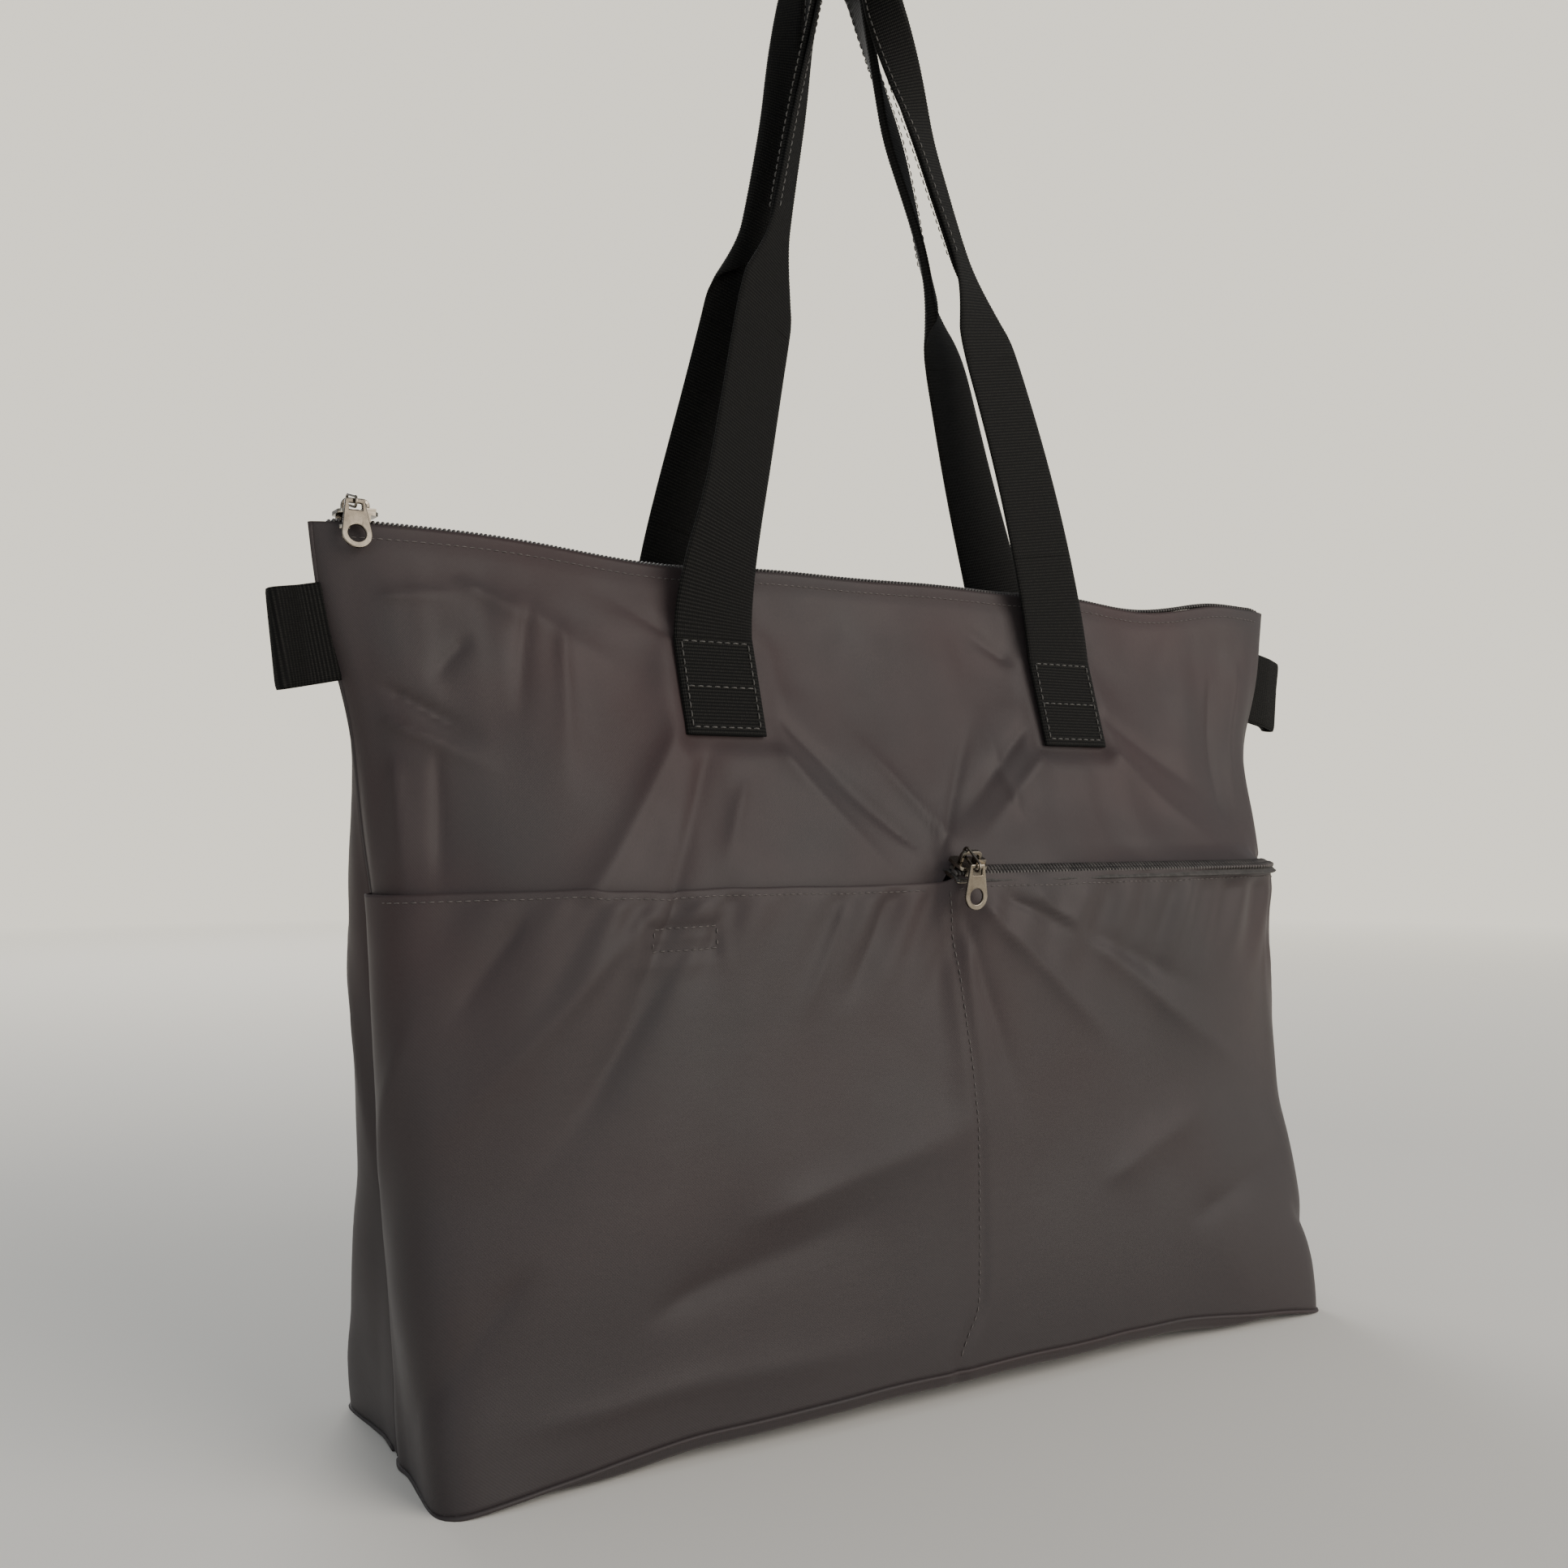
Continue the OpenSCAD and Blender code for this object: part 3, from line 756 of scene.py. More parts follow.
# Each fold: start x, start z, end x, end z, half width, height (below zero is a valley)
FRONT_FOLDS = [
    (-96, 226, -160, 120, 12, 3.2), (-84, 224, -128, 100, 11, -3.0), (-66, 224, -14, 172, 7, 2.4),
    (-60, 232, 2, 180, 6, -2.4), (-94, 258, -126, 276, 8, -2.4), (66, 222, 14, 182, 8, 2.8),
    (60, 232, 8, 190, 6, -2.6), (60, 254, 30, 272, 7, -2.2), (90, 224, 150, 180, 9, 2.4),
    (94, 236, 160, 200, 9, -2.4), (188, 258, 174, 196, 9, 2.4), (170, 250, 160, 190, 7, -2.0),
    (-150, 262, -110, 240, 14, 2.2), (6, 188, -26, 226, 5, 2.2), (4, 186, 30, 232, 5, -2.4),
    (-8, 186, -44, 214, 4, -1.8), (-74, 206, -84, 178, 6, 1.8), (40, 196, 34, 236, 8, 1.8),
    (-197, 234, -166, 220, 4, -3.0), (-197, 224, -160, 210, 5, 2.4), (-196, 262, -166, 264, 7, 2.2),
    (-170, 268, -140, 254, 7, 2.4), (-148, 262, -152, 226, 7, -3.0), (-136, 256, -138, 206, 8, 2.6),
    (-194, 212, -186, 176, 6, 2.4), (-180, 214, -174, 172, 6, -2.4), (-168, 250, -182, 236, 6, -2.4)
]

POCKET_FOLDS = [
    (-110, 168, -176, 92, 13, 3.6), (-92, 166, -146, 80, 12, -3.2), (8, 168, 70, 112, 7, 2.6),
    (12, 171, 120, 128, 6, -2.4), (34, 168, 140, 96, 8, 2.6), (4, 166, 26, 92, 7, -2.0),
    (-70, 66, 16, 92, 18, 3.6), (-100, 42, -30, 62, 16, -3.6), (-178, 130, -188, 30, 11, 3.0),
    (62, 60, 122, 88, 16, 3.2), (100, 40, 156, 66, 14, -3.2), (-130, 18, -20, 14, 11, 1.8),
    (172, 150, 186, 60, 10, 2.2), (-140, 60, -170, 14, 12, -2.4), (150, 40, 172, 12, 10, -2.2),
    (-40, 168, -58, 128, 6, 2.0), (-24, 168, -40, 134, 5, -1.8), (-150, 164, -168, 134, 6, -2.0)
]

BACK_FOLDS = [
    (-90, 226, -160, 120, 9, 3.0), (-78, 222, -112, 90, 8, -2.6), (-66, 222, -30, 150, 7, 2.6),
    (90, 226, 164, 128, 9, 3.0), (80, 222, 120, 100, 8, -2.6), (66, 222, 26, 156, 7, 2.6),
    (-96, 252, -150, 268, 7, -2.2), (96, 252, 150, 268, 7, -2.2), (-40, 120, 30, 96, 15, 3.2),
    (-150, 60, -70, 40, 13, -2.8), (60, 50, 150, 66, 13, 2.8), (-184, 170, -190, 60, 8, 2.6),
    (184, 170, 190, 60, 8, 2.6), (0, 200, -14, 140, 7, -2.2), (56, 248, 10, 262, 7, 1.8)
]


def fold_height(x, z, folds):
    """Sum of tapered ridges and valleys, each with a pinched crest, over the flat map of a panel."""
    total = np.zeros_like(x)
    for x0, z0, x1, z1, width, height in folds:
        run_x, run_z = x1 - x0, z1 - z0
        length2 = run_x ** 2 + run_z ** 2
        t = ((x - x0) * run_x + (z - z0) * run_z) / length2
        away = ((x - x0) * run_z - (z - z0) * run_x) / math.sqrt(length2)
        spread = width * (0.45 + 0.75 * np.clip(t, 0, 1))
        along = ease(-0.12, 0.16, t) * (1 - ease(0.55, 1.15, t))
        crest = np.exp(-1.8 * (np.sqrt((away / spread) ** 2 + 0.04) - 0.2))
        total += FOLD_HEIGHT * height * along * crest
    return total


def slow_swell(x, z, phase):
    """Broad soft swelling of the cloth."""
    return (1.5 * np.sin(x / 47 + z / 61 + phase) * np.sin(z / 39 - x / 83 + 0.7 * phase)
            + 0.7 * np.sin(x / 23 - z / 31 + 2.1 * phase) * np.sin(z / 27 + x / 44))


def flat_map(shares, heights, margin):
    """Distance across from the middle and height, in millimetres, over the flat panel."""
    return np.broadcast_arrays(shares * (half_width(heights)[:, None] + margin), heights[:, None])


def build_sheet(heights, columns, shape, move, folds, phase, mirror=False):
    """A panel's points: rest shape, simulated hang, then sculpted folds."""
    shares = np.linspace(-1, 1, columns)
    rest = rest_grid(shares, heights, shape)
    fine = resample(folds_of(move), 4 * SIM_ROWS, columns)
    at = np.interp(heights, np.linspace(0, BODY_H, 4 * SIM_ROWS), np.arange(4 * SIM_ROWS))
    k = np.clip(at.astype(int), 0, 4 * SIM_ROWS - 2)
    f = (at - k)[:, None, None]
    flip = np.array([1, -1 if mirror else 1, 1])
    drift = (fine[k] * (1 - f) + fine[k + 1] * f) * flip
    map_x, map_z = flat_map(shares, heights, 12)
    height = fold_height(map_x, map_z, folds) + slow_swell(map_x, map_z, phase)
    calm = (1 - strap_patch(map_x, map_z, 10)) * (1 - 0.9 * ease(BODY_H - 22, BODY_H - 5, map_z))
    calm = calm * (1 - ease(0.92, 1.0, np.abs(shares)))[None, :]
    points = place(rest) + drift * calm[..., None]
    points = points + normals_of(points) * (height * calm)[..., None]
    return Sheet(shares, heights, rest, points * flip)


def weave_map(sheet):
    """Cloth coordinates in millimetres for the weave."""
    return pair(*flat_map(sheet.shares, sheet.heights, 20))


def blur(grid, width):
    """Gaussian blur over a grid of points, with the edges held."""
    reach = int(3 * width)
    kernel = np.exp(-0.5 * (np.arange(-reach, reach + 1) / width) ** 2)
    kernel /= kernel.sum()
    for axis in (0, 1):
        padded = np.moveaxis(grid, axis, 0)
        padded = np.concatenate([padded[:1]] * reach + [padded] + [padded[-1:]] * reach)
        total = sum(k * padded[n:n + grid.shape[axis]] for n, k in enumerate(kernel))
        grid = np.moveaxis(total, 0, axis)
    return grid


def folds_of(move):
    """The simulated cloth's folds alone: its movement less the slow settling of the whole body."""
    folds = move - blur(move, 5.0)
    return FOLD_GAIN * blur(folds, 0.7)


front_sheet = build_sheet(PANEL_LEVELS, 261, FRONT_SHAPE, front_move, FRONT_FOLDS, 0.3)
back_sheet = build_sheet(PANEL_LEVELS, 201, BACK_SHAPE, back_move, BACK_FOLDS, 1.9, mirror=True)


# ---- front panel, above the pocket line

def right_half(x):
    return ease(-4, 6, x)


def cloth_piece(name, points, weave, *nodes):
    fit(shell(name, points, CLOTH_T, NYLON, weave), "root", *nodes)


def build_front_backing():
    """The same panel behind the pocket, seen only through the pocket's openings."""
    shares = front_sheet.shares[::2]
    heights = np.linspace(8, POCKET_H + 8, 40)[:, None]
    points = front_sheet.at(shares[None], heights, -1.3)[0]
    cloth_piece("front_panel_backing", points, pair(shares * FLAT_HALF_W, heights))


# ---- front pocket panel

def pocket_lift(x, z):
    """How far the pocket panel's outer face stands off the front panel."""
    share = z / POCKET_H
    ledge = ZIP_SLIP + (ZIP_LEDGE + 0.8 - ZIP_SLIP) * ease(-6, 8, x) * ease(0.35, 1.0, share)
    ledge = ledge * (1 - 0.3 * ease(165, 176, x)) * (1 - 0.8 * ease(176, 186, x))
    return 1.4 + (ledge - 1.4) * share + 2.0 * bell(share, 0, 0.3)


def puckers(x, z):
    """Small gathers under the hem's topstitching."""
    below = POCKET_H - z
    fade = ease(1.0, 6.0, below) * (1 - ease(9, 42, below))
    slant = x + 0.45 * below
    wave = np.sin(slant / 2.9 + 1.3 * np.sin(slant / 17.0)) + 0.7 * np.sin(slant / 4.7 + 2.0)
    return 0.8 * wave * fade * ease(-195, -150, x) * (1 - ease(150, 190, x))


def patch_dent(x, z):
    """The small fastener's stitching pulls the cloth in around its edge."""
    left, right, low, high = PATCH_SEAM
    dx = np.abs(x - (left + right) / 2) - (right - left) / 2
    dz = np.abs(z - (low + high) / 2) - (high - low) / 2
    edge = np.maximum(dx, dz)
    return -0.5 * bell(edge, 0, 1.6) + 0.35 * bell(edge, 4, 2.5)


def divider_x(z):
    """The pocket divider's stitching wanders to the right on its way down and back at the base."""
    below = POCKET_H - z
    return -1 + 9.0 * np.sin(np.clip(below / 160, 0, 1) * math.pi * 0.78) - 8.0 * ease(150, 173, below)


def build_pocket_sheet():
    hem = np.linspace(POCKET_H - 11, POCKET_H - 0.6, 12)
    heights = np.concatenate([np.linspace(0, POCKET_H - 12, 78), hem])
    base = build_sheet(heights, 301, FRONT_SHAPE, front_move, FRONT_FOLDS, 0.3)
    x, z = flat_map(base.shares, heights, 12)
    lift = pocket_lift(x, z) + fold_height(x, z, POCKET_FOLDS) + puckers(x, z) + patch_dent(x, z)
    divider = divider_x(z)
    lift = lift - 0.9 * bell(x, divider, 2.2) * (1 - ease(160, 172, z)) + 0.5 * bell(x, divider, 7)
    edge = 1 - ease(0.955, 1.0, np.abs(base.shares))[None, :]
    points = base.points + base.normals * (lift * (0.12 + 0.88 * edge))[..., None]
    return Sheet(base.shares, heights, base.rest, points)


pocket_sheet = build_pocket_sheet()


# ---- the pocket zip's line

def pocket_zip_line():
    """The coil's line along the ledge and round to the side seam, with its across and upward directions."""
    lower = mm_box("pocket_zip_coil_lower")[0]
    upper_half = mm_box("pocket_zip_coil_upper")[0]
    tip = math.atan2(upper_half[2] - lower[2], upper_half[1] - lower[1])
    pivot = np.array(joints["pocket_pull_flip"]["pos_m"]) / MM
    over_dir = np.array([0, -math.sin(tip), math.cos(tip)])
    middle = pivot - over_dir * 7.8
    x = ZIP_X
    edge = pocket_sheet.along(x, POCKET_H - 1.0)[0]
    rest = pocket_sheet.along([20, 60], POCKET_H - 1.0)[0].mean(axis=0)
    bound = ease(150, 176, x)[:, None]
    straight = copies([0, *middle[1:]], len(x)) + x[:, None] * np.array([1, 0, 0])
    follow = edge + np.array([0, middle[1] - rest[1], middle[2] - rest[2]])
    line = straight * (1 - bound) + follow * bound
    line[:, 1] += 2.5 * ease(ZIP_END - 9, ZIP_END, x)
    tangent = tangents(line)
    over = copies(over_dir, len(x))
    across = unit(np.cross(over, tangent))
    return line, across * np.sign(across[:, 1:2]), over


def zip_columns(sheet):
    """Each column's distance from the middle at the pocket line; it never turns back at the side."""
    row = int(np.argmin(np.abs(sheet.heights - POCKET_H)))
    return np.maximum.accumulate(sheet.rest[row, :, 0])


def reach_zip(points, x, run, hand):
    """Draws a panel's zip edge to the coil: run is the distance from that edge, hand the coil's side."""
    line, across, over = ZIP_LINE
    lip = line + across * hand * 2.7 + over * 1.1
    share = right_half(x) * (1 - ease(0, 6.5, run)) * (1 - ease(ZIP_END - 10, ZIP_END, x))
    return points * (1 - share[..., None]) + sample(x, ZIP_X, lip) * share[..., None]


ZIP_LINE = pocket_zip_line()
below_hem = POCKET_H - 0.6 - pocket_sheet.heights[:, None]
pocket_sheet.points = reach_zip(pocket_sheet.points, zip_columns(pocket_sheet)[None], below_hem, -1)
pocket_sheet.normals = normals_of(pocket_sheet.points)


def build_front_upper():
    """The panel ends in a turned hem on the zip, and runs on behind the open half of the pocket."""
    x = zip_columns(front_sheet)[None]
    low = HEM_LEFT + (ZIP_BACK_Z - HEM_LEFT) * right_half(x)
    heights = low + (BODY_H - low) * np.linspace(0, 1, 112)[:, None]
    above = heights - low
    points, normals = front_sheet.at(front_sheet.shares[None], heights)
    pull = 3.0 * right_half(x) * (1 - ease(0, 26, above)) * (1 - ease(ZIP_END - 19, ZIP_END, np.abs(x)))
    tuck = bell(above, 0, 1.4) * right_half(x)
    points = points + normals * (pull - tuck)[..., None]
    points = reach_zip(points, x, above, 1)
    weave = pair(front_sheet.shares * FLAT_HALF_W, heights)
    cloth_piece("front_panel_upper", points, weave, "front_panel")


def build_panel(name, sheet, side, node):
    """A whole panel; side is -1 where its columns run the other way."""
    cloth_piece(name, sheet.points[:, ::side], weave_map(sheet)[:, ::side], node)


def build_base():
    """The base: rings from the bottom seam inwards, sagging between the seams."""
    steps = np.linspace(0, 1, 200)
    front, back = (sample(steps, np.linspace(0, 1, len(row)), row)
                   for row in (pocket_sheet.points[0], back_sheet.points[0]))
    ring = np.concatenate([front, back[-2:0:-1]])
    shares = (np.linspace(0, 1, 34) ** 2.3)[:, None]
    spine = ring_cap(ring, 2)[1]
    rows = ring[None] * (1 - shares[..., None]) + spine[None] * shares[..., None]
    inset = shares * BACK_BASE_D
    loose = ease(0, 50, 172 - np.abs(ring[:, 0]))[None, :]
    sag = 5.4 * (1 - np.exp(-inset / 1.8)) + 0.5 * np.sin(ring[None, :, 0] / 19) * shares
    rows[..., 2] = np.maximum(rows[..., 2] - sag * loose, 0.2)
    rows[..., 1] += np.sign(ring[None, :, 1]) * 0.9 * bell(inset, 1.2, 1.2) * loose
    inner = rows + np.array([0, 0, CLOTH_T])
    count, cols = rows.shape[:2]
    half = count * cols
    last = half - cols
    i = np.arange(cols)
    k = (i + 1) % cols
    faces = [quad_grid(count, cols, flip=True, wrap=True), quad_grid(count, cols, half, wrap=True)]
    faces = np.concatenate(faces + rims(half, ((i, k), (last + k, last + i))))
    points = np.concatenate([rows.reshape(-1, 3), inner.reshape(-1, 3)])
    piece = new_piece("bottom_panel_cloth", points, faces, NYLON, points[:, :2])
    fit(piece, "root", "bottom_panel")


build_front_upper()
build_front_backing()
build_panel("front_pocket_panel_cloth", pocket_sheet, 1, "front_pocket_panel")
build_panel("back_panel_cloth", back_sheet, -1, "back_panel")
build_base()


# ---- seams and topstitching

ROLL_SIDES = 8


def seam_roll(name, path, radius):
    """A thin roll of turned cloth along a seam."""
    tangent = tangents(path)
    helper = np.where(np.abs(tangent[:, 2:3]) > 0.9, np.array([[1.0, 0, 0]]), np.array([[0, 0, 1.0]]))
    side = unit(np.cross(tangent, helper))
    over = unit(np.cross(side, tangent))
    rings = circles(path, radius * side, -radius * over, ROLL_SIDES)
    run = np.repeat(np.arange(len(path)), ROLL_SIDES)
    fit(swept(name, rings, NYLON, pair(run, run)), "root")


def build_seams():
    for side, column in (("left", 0), ("right", -1)):
        middle = (front_sheet.points[:, column] + back_sheet.points[:, column]) / 2
        middle[:, 0] -= np.sign(middle[:, 0]) * 0.4
        seam_roll("side_seam_roll_" + side, middle, 0.9)
    for side, sheet in (("front", pocket_sheet), ("back", back_sheet)):
        edge = sheet.points[0][2:-2] + np.array([0, 0, 0.2])
        seam_roll("bottom_seam_roll_" + side, edge, 0.8)


def binding_strip(name, edge, inward, width, thick, replaced):
    """A bound seam allowance that stands off a seam along the inward directions."""
    rows = np.linspace(0.8, width, 6)
    grid = edge[None] + inward[None] * rows[:, None, None]
    across = unit(np.cross(np.gradient(edge, axis=0), inward))
    grid = grid + across[None] * thick / 2
    flat = pair(np.arange(len(edge)) * 1.5, rows[:, None])
    fit(shell(name, grid, thick, BINDING, flat), "root", replaced)


def build_bindings():
    for side, column, inwards in (("left", 0, 1), ("right", -1, -1)):
        edge = (front_sheet.points[6:-10, column] + back_sheet.points[6:-10, column]) / 2
        inward = copies([inwards, 0, 0], len(edge))
        binding_strip("side_binding_" + side, edge, inward, 10.0, 1.4, "side_seam_tape_" + side)
    for name, row in (("front", pocket_sheet.points[0][4:-4]), ("back", back_sheet.points[0][-5:3:-1])):
        level = unit(row * np.array([-0.5, -1.0, 0.0]))
        inward = unit(level * 0.5 + np.array([0, 0, 1.0]))
        binding_strip("bottom_binding_" + name, row + level * 1.2, inward, 8.0, 1.2, "bottom_seam_tape")


def span(a, b, step=1.5):
    return np.linspace(a, b, max(2, int(abs(b - a) / step)))


def topstitch(name, runs, pitch, length, radius):
    stitch_piece(name, "root", runs, DARK_THREAD, pitch, length, radius)


def build_topstitching():
    runs = [pocket_sheet.along(span(-190, -8), POCKET_H - 3.0, 0.1),
            pocket_sheet.along(span(2, 182), POCKET_H - 4.6, 0.1)]
    topstitch("pocket_hem_stitches", runs, 2.6, 1.9, 0.2)
    down = span(POCKET_H - 4, 5)
    topstitch("pocket_divider_stitches", [pocket_sheet.along(divider_x(down), down, 0.1)], 3.0, 2.2, 0.22)
    left, right, low, high = PATCH_SEAM
    box = [(left, low), (right, low), (right, high), (left, high), (left, low)]
    runs = [pocket_sheet.along(np.linspace(xa, xb, 14), np.linspace(za, zb, 14), 0.12)
            for (xa, za), (xb, zb) in zip(box[:-1], box[1:])]
    tack = span(POCKET_H - 0.8, POCKET_H - 5.5, 0.5)
    runs.append(pocket_sheet.along(np.full(len(tack), -187.0), tack, 0.15))
    topstitch("pocket_fastener_stitches", runs, 2.4, 1.8, 0.22)
    for side, sheet in (("front", front_sheet), ("back", back_sheet)):
        runs = [sheet.along(span(-198, 198), BODY_H - 4.5, 0.1)]
        topstitch("top_hem_stitches_" + side, runs, 2.6, 1.9, 0.2)


back_sheet.normals = unit(back_sheet.normals * np.sign(back_sheet.normals[60, 100, 1]))
build_seams()
build_bindings()
build_topstitching()


# ---- webbing

def strap_section(half, flap, thick, count=25):
    """Cross-section of webbing with a flap of its +w edge rolled over behind: the closed outline."""
    roll = 1.02 + 3.4 * (1 - flap) ** 2
    fold_at = half - flap * (half + math.pi * 0.51)
    dense = np.linspace(-half, half, 481)
    step = dense[1] - dense[0]
    turn = np.clip((dense - fold_at) / roll, 0, math.pi) if flap > 0 else np.zeros_like(dense)
    run_x = np.concatenate([[0], np.cumsum(np.cos(turn[:-1])) * step]) - half
    run_y = np.concatenate([[0], np.cumsum(np.sin(turn[:-1])) * step])
    w = np.linspace(-half, half, count)
    if flap > 0:
        keep = np.linspace(-half, fold_at, count - 12)[:-1]
        bend = np.linspace(fold_at, min(half, fold_at + roll * math.pi), 9)
        rest = np.linspace(bend[-1], half, 6)[1:]
        w = np.sort(np.concatenate([keep, bend, rest]))[:count]
    x, y = np.interp(w, dense, run_x), -np.interp(w, dense, run_y)
    angle = np.interp(w, dense, turn)
    edge = np.sqrt(np.clip(1 - np.abs(w / half) ** 14, 0.15, 1))
    reach = thick / 2 * edge
    nx, ny = np.sin(angle), np.cos(angle)
    front = np.stack([x + nx * reach, y + ny * reach], -1)
    back = np.stack([x - nx * reach, y - ny * reach], -1)[::-1]
    centre = (x.min() + x.max()) / 2
    outline = np.concatenate([front, back]) - np.array([centre, 0])
    return outline, np.concatenate([w, w[::-1]])


def strap_frames(path, normal, twist=0.0):
    """The webbing's width direction and face direction at each point of its path."""
    tangent = tangents(path)
    normal = unit(normal - tangent * np.sum(normal * tangent, axis=1, keepdims=True))
    wide = unit(np.cross(tangent, normal))
    turn = np.broadcast_to(twist, len(path))[:, None]
    return wide * np.cos(turn) - normal * np.sin(turn), normal * np.cos(turn) + wide * np.sin(turn)


def webbing_piece(name, path, runs, frames, flap=None, side=1, thick=STRAP_T):
    """Webbing along a path; flap is 0 where it is flat and 1 where it is folded in half."""
    flap = np.zeros(len(path)) if flap is None else flap
    rings, flat = [], []
    for k, (wide, face) in enumerate(zip(*frames)):
        rib = 0.5 - 0.5 * math.cos(2 * math.pi * runs[k] / RIB)
        outline, across = strap_section(STRAP_W / 2, float(flap[k]), thick * (0.80 + 0.20 * rib))
        if side < 0:
            outline, across = outline[::-1] * np.array([-1, 1]), -across[::-1]
        rings.append(path[k] + outline[:, :1] * wide + outline[:, 1:] * face)
        flat.append(pair(across, runs[k]))
    return swept(name, np.array(rings), WEBBING, np.concatenate(flat))


# Spacing of the webbing's rings: four to a rib
STEP = RIB / 4


class Handle:
    """One handle: its plane, its path from foot to foot, and how it folds and twists on the way."""

    def __init__(self, key, outward, bows, turns):
        self.key = key
        self.outward = outward
        self.bows = bows
        self.turns = turns
        legs_low, legs_high = mm_box(key + "_strap_legs")
        grip_high = mm_box(key + "_strap_grip")[1]
        lean = math.atan2(legs_high[1] - legs_low[1] - STRAP_T, legs_high[2] - legs_low[2])
        self.up = np.array([0, math.sin(lean), math.cos(lean)])
        self.normal = outward * np.array([0, math.cos(lean), -math.sin(lean)])
        self.foot = np.array([0, legs_low[1] + STRAP_T / 2, legs_low[2]])
        self.leg = (legs_high[2] - legs_low[2]) / math.cos(lean)
        self.radius = 13.0
        self.rise = (grip_high[2] - legs_low[2]) / math.cos(lean) - self.radius - STRAP_T - 2
        self.build_path()

    def build_path(self):
        """Two legs that meet an arc, walked from one foot to the other; each rises upright from its row."""
        far = math.hypot(STRAP_X, self.rise)
        lean_in = math.atan2(STRAP_X, self.rise) - math.asin(self.radius / far)
        legs = np.linspace(0, math.sqrt(far ** 2 - self.radius ** 2), 400)
        x = STRAP_X - legs * math.sin(lean_in)
        h = legs * math.cos(lean_in)
        turn = np.linspace(lean_in, math.pi - lean_in, 80)[1:-1]
        x = np.concatenate([x, self.radius * np.cos(turn), -x[::-1]])
        h = np.concatenate([h, self.rise + self.radius * np.sin(turn), h[::-1]])
        hand = np.sign(x)
        swing = np.sin(np.clip(h / (self.rise * 0.98), 0, 1) * math.pi)
        x = x + np.where(x > 0, self.bows[1], self.bows[0]) * swing
        slopes = np.where(hand > 0, (x[3] - x[0]) / (h[3] - h[0]), (x[-4] - x[-1]) / (h[-4] - h[-1]))
        settle = 26.0
        x = x - slopes * settle * (1 - np.exp(-h / settle)) * (1 - np.clip(h / self.rise, 0, 1)) ** 1.5
        x = x if self.outward < 0 else -x
        self.run = np.concatenate([[0], np.cumsum(np.hypot(np.diff(x), np.diff(h)))])
        self.total = self.run[-1]
        self.x, self.h = x, h

    def walk(self, start, end):
        """Path, run, flap and frames between two distances along the handle."""
        step = self.total / round(self.total / STEP)
        runs = step * np.arange(round(start / step), round(end / step) + 1)
        x = np.interp(runs, self.run, self.x)
        h = np.interp(runs, self.run, self.h)
        part = self.foot + x[:, None] * np.array([1.0, 0, 0]) + h[:, None] * self.up
        near = np.minimum(runs, self.total - runs)
        spread = 4.5 * ease(self.leg + 20, self.total / 2, near)
        part = part + np.array([0, self.outward, 0]) * spread[:, None]
        flap = ease(self.leg - 28, self.leg + 14, near)
        marks = [0, 45, self.leg - 24, self.leg + 14, self.leg + 62, self.total / 2]
        first, last = (np.interp(near, marks, turns) for turns in self.turns)
        twist = np.radians(smooth(np.where(runs < self.total / 2, first, last), 60))
        clear = STRAP_W / 2 * np.abs(np.sin(twist)) * (1 - ease(40, 130, near))
        part = part + clear[:, None] * self.normal
        return part, runs, flap, strap_frames(part, copies(self.normal, len(part)), twist)

    def strip(self, name, side, near, far):
        """Webbing between two distances from the foot, on side a or b."""
        start, end = (near, far) if side == "a" else (self.total - far, self.total - near)
        path, runs, flap, frames = self.walk(0, self.total)
        step = runs[1] - runs[0]
        keep = slice(round(start / step), round(end / step) + 1)
        hand = 1 if side == "a" else -1
        name = self.key + name + side
        return webbing_piece(name, path[keep], runs[keep], [f[keep] for f in frames], flap[keep], hand)

    def at(self, height):
        return Vector((self.foot + self.up * height) * MM)

    def build(self):
        foot, top, middle = 42.0, self.leg + 34, self.total / 2
        handle, grip = self.key + "_handle", self.key + "_grip"
        legs = (("foot_", 0, foot, "root", handle, -1.0, 24.0),
                ("", foot, top, handle, grip, self.leg - 18, self.leg + 18))
        for part, near, far, body, next_body, bend_start, bend_end in legs:
            for side in "ab":
                piece = self.strip("_strap_leg_" + part, side, near, far)
                self.at(bend_start)
                self.at(bend_end)
                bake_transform(piece)
                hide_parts(self.key + "_strap_legs")
        for side in "ab":
            fit(self.strip("_strap_grip_", side, top, middle), grip, self.key + "_strap_grip")
        self.build_grip_stitches(top - 20, self.total - top + 20)

    def build_grip_stitches(self, start, end):
        """A row of stitches along the folded grip's open edge, on both faces."""
        path, runs, _, (wide, face) = self.walk(start, end)
        hand = np.where(runs < self.total / 2, 1.0, -1.0)[:, None]
        rows = []
        for layer in (STRAP_T / 2 + 0.05, -STRAP_T * 1.5 - 0.3):
            line = path - wide * hand * (STRAP_W / 4 - 2.0) + face * layer
            half = len(path) // 2
            outward_face = face * np.sign(layer)
            rows.append((line[:half - 30:4], outward_face[:half - 30:4]))
            rows.append((line[half + 30::4], outward_face[half + 30::4]))
        name, body = self.key + "_grip_stitches", self.key + "_grip"
        stitch_piece(name, body, rows, THREAD, 3.1, 2.3, 0.24)


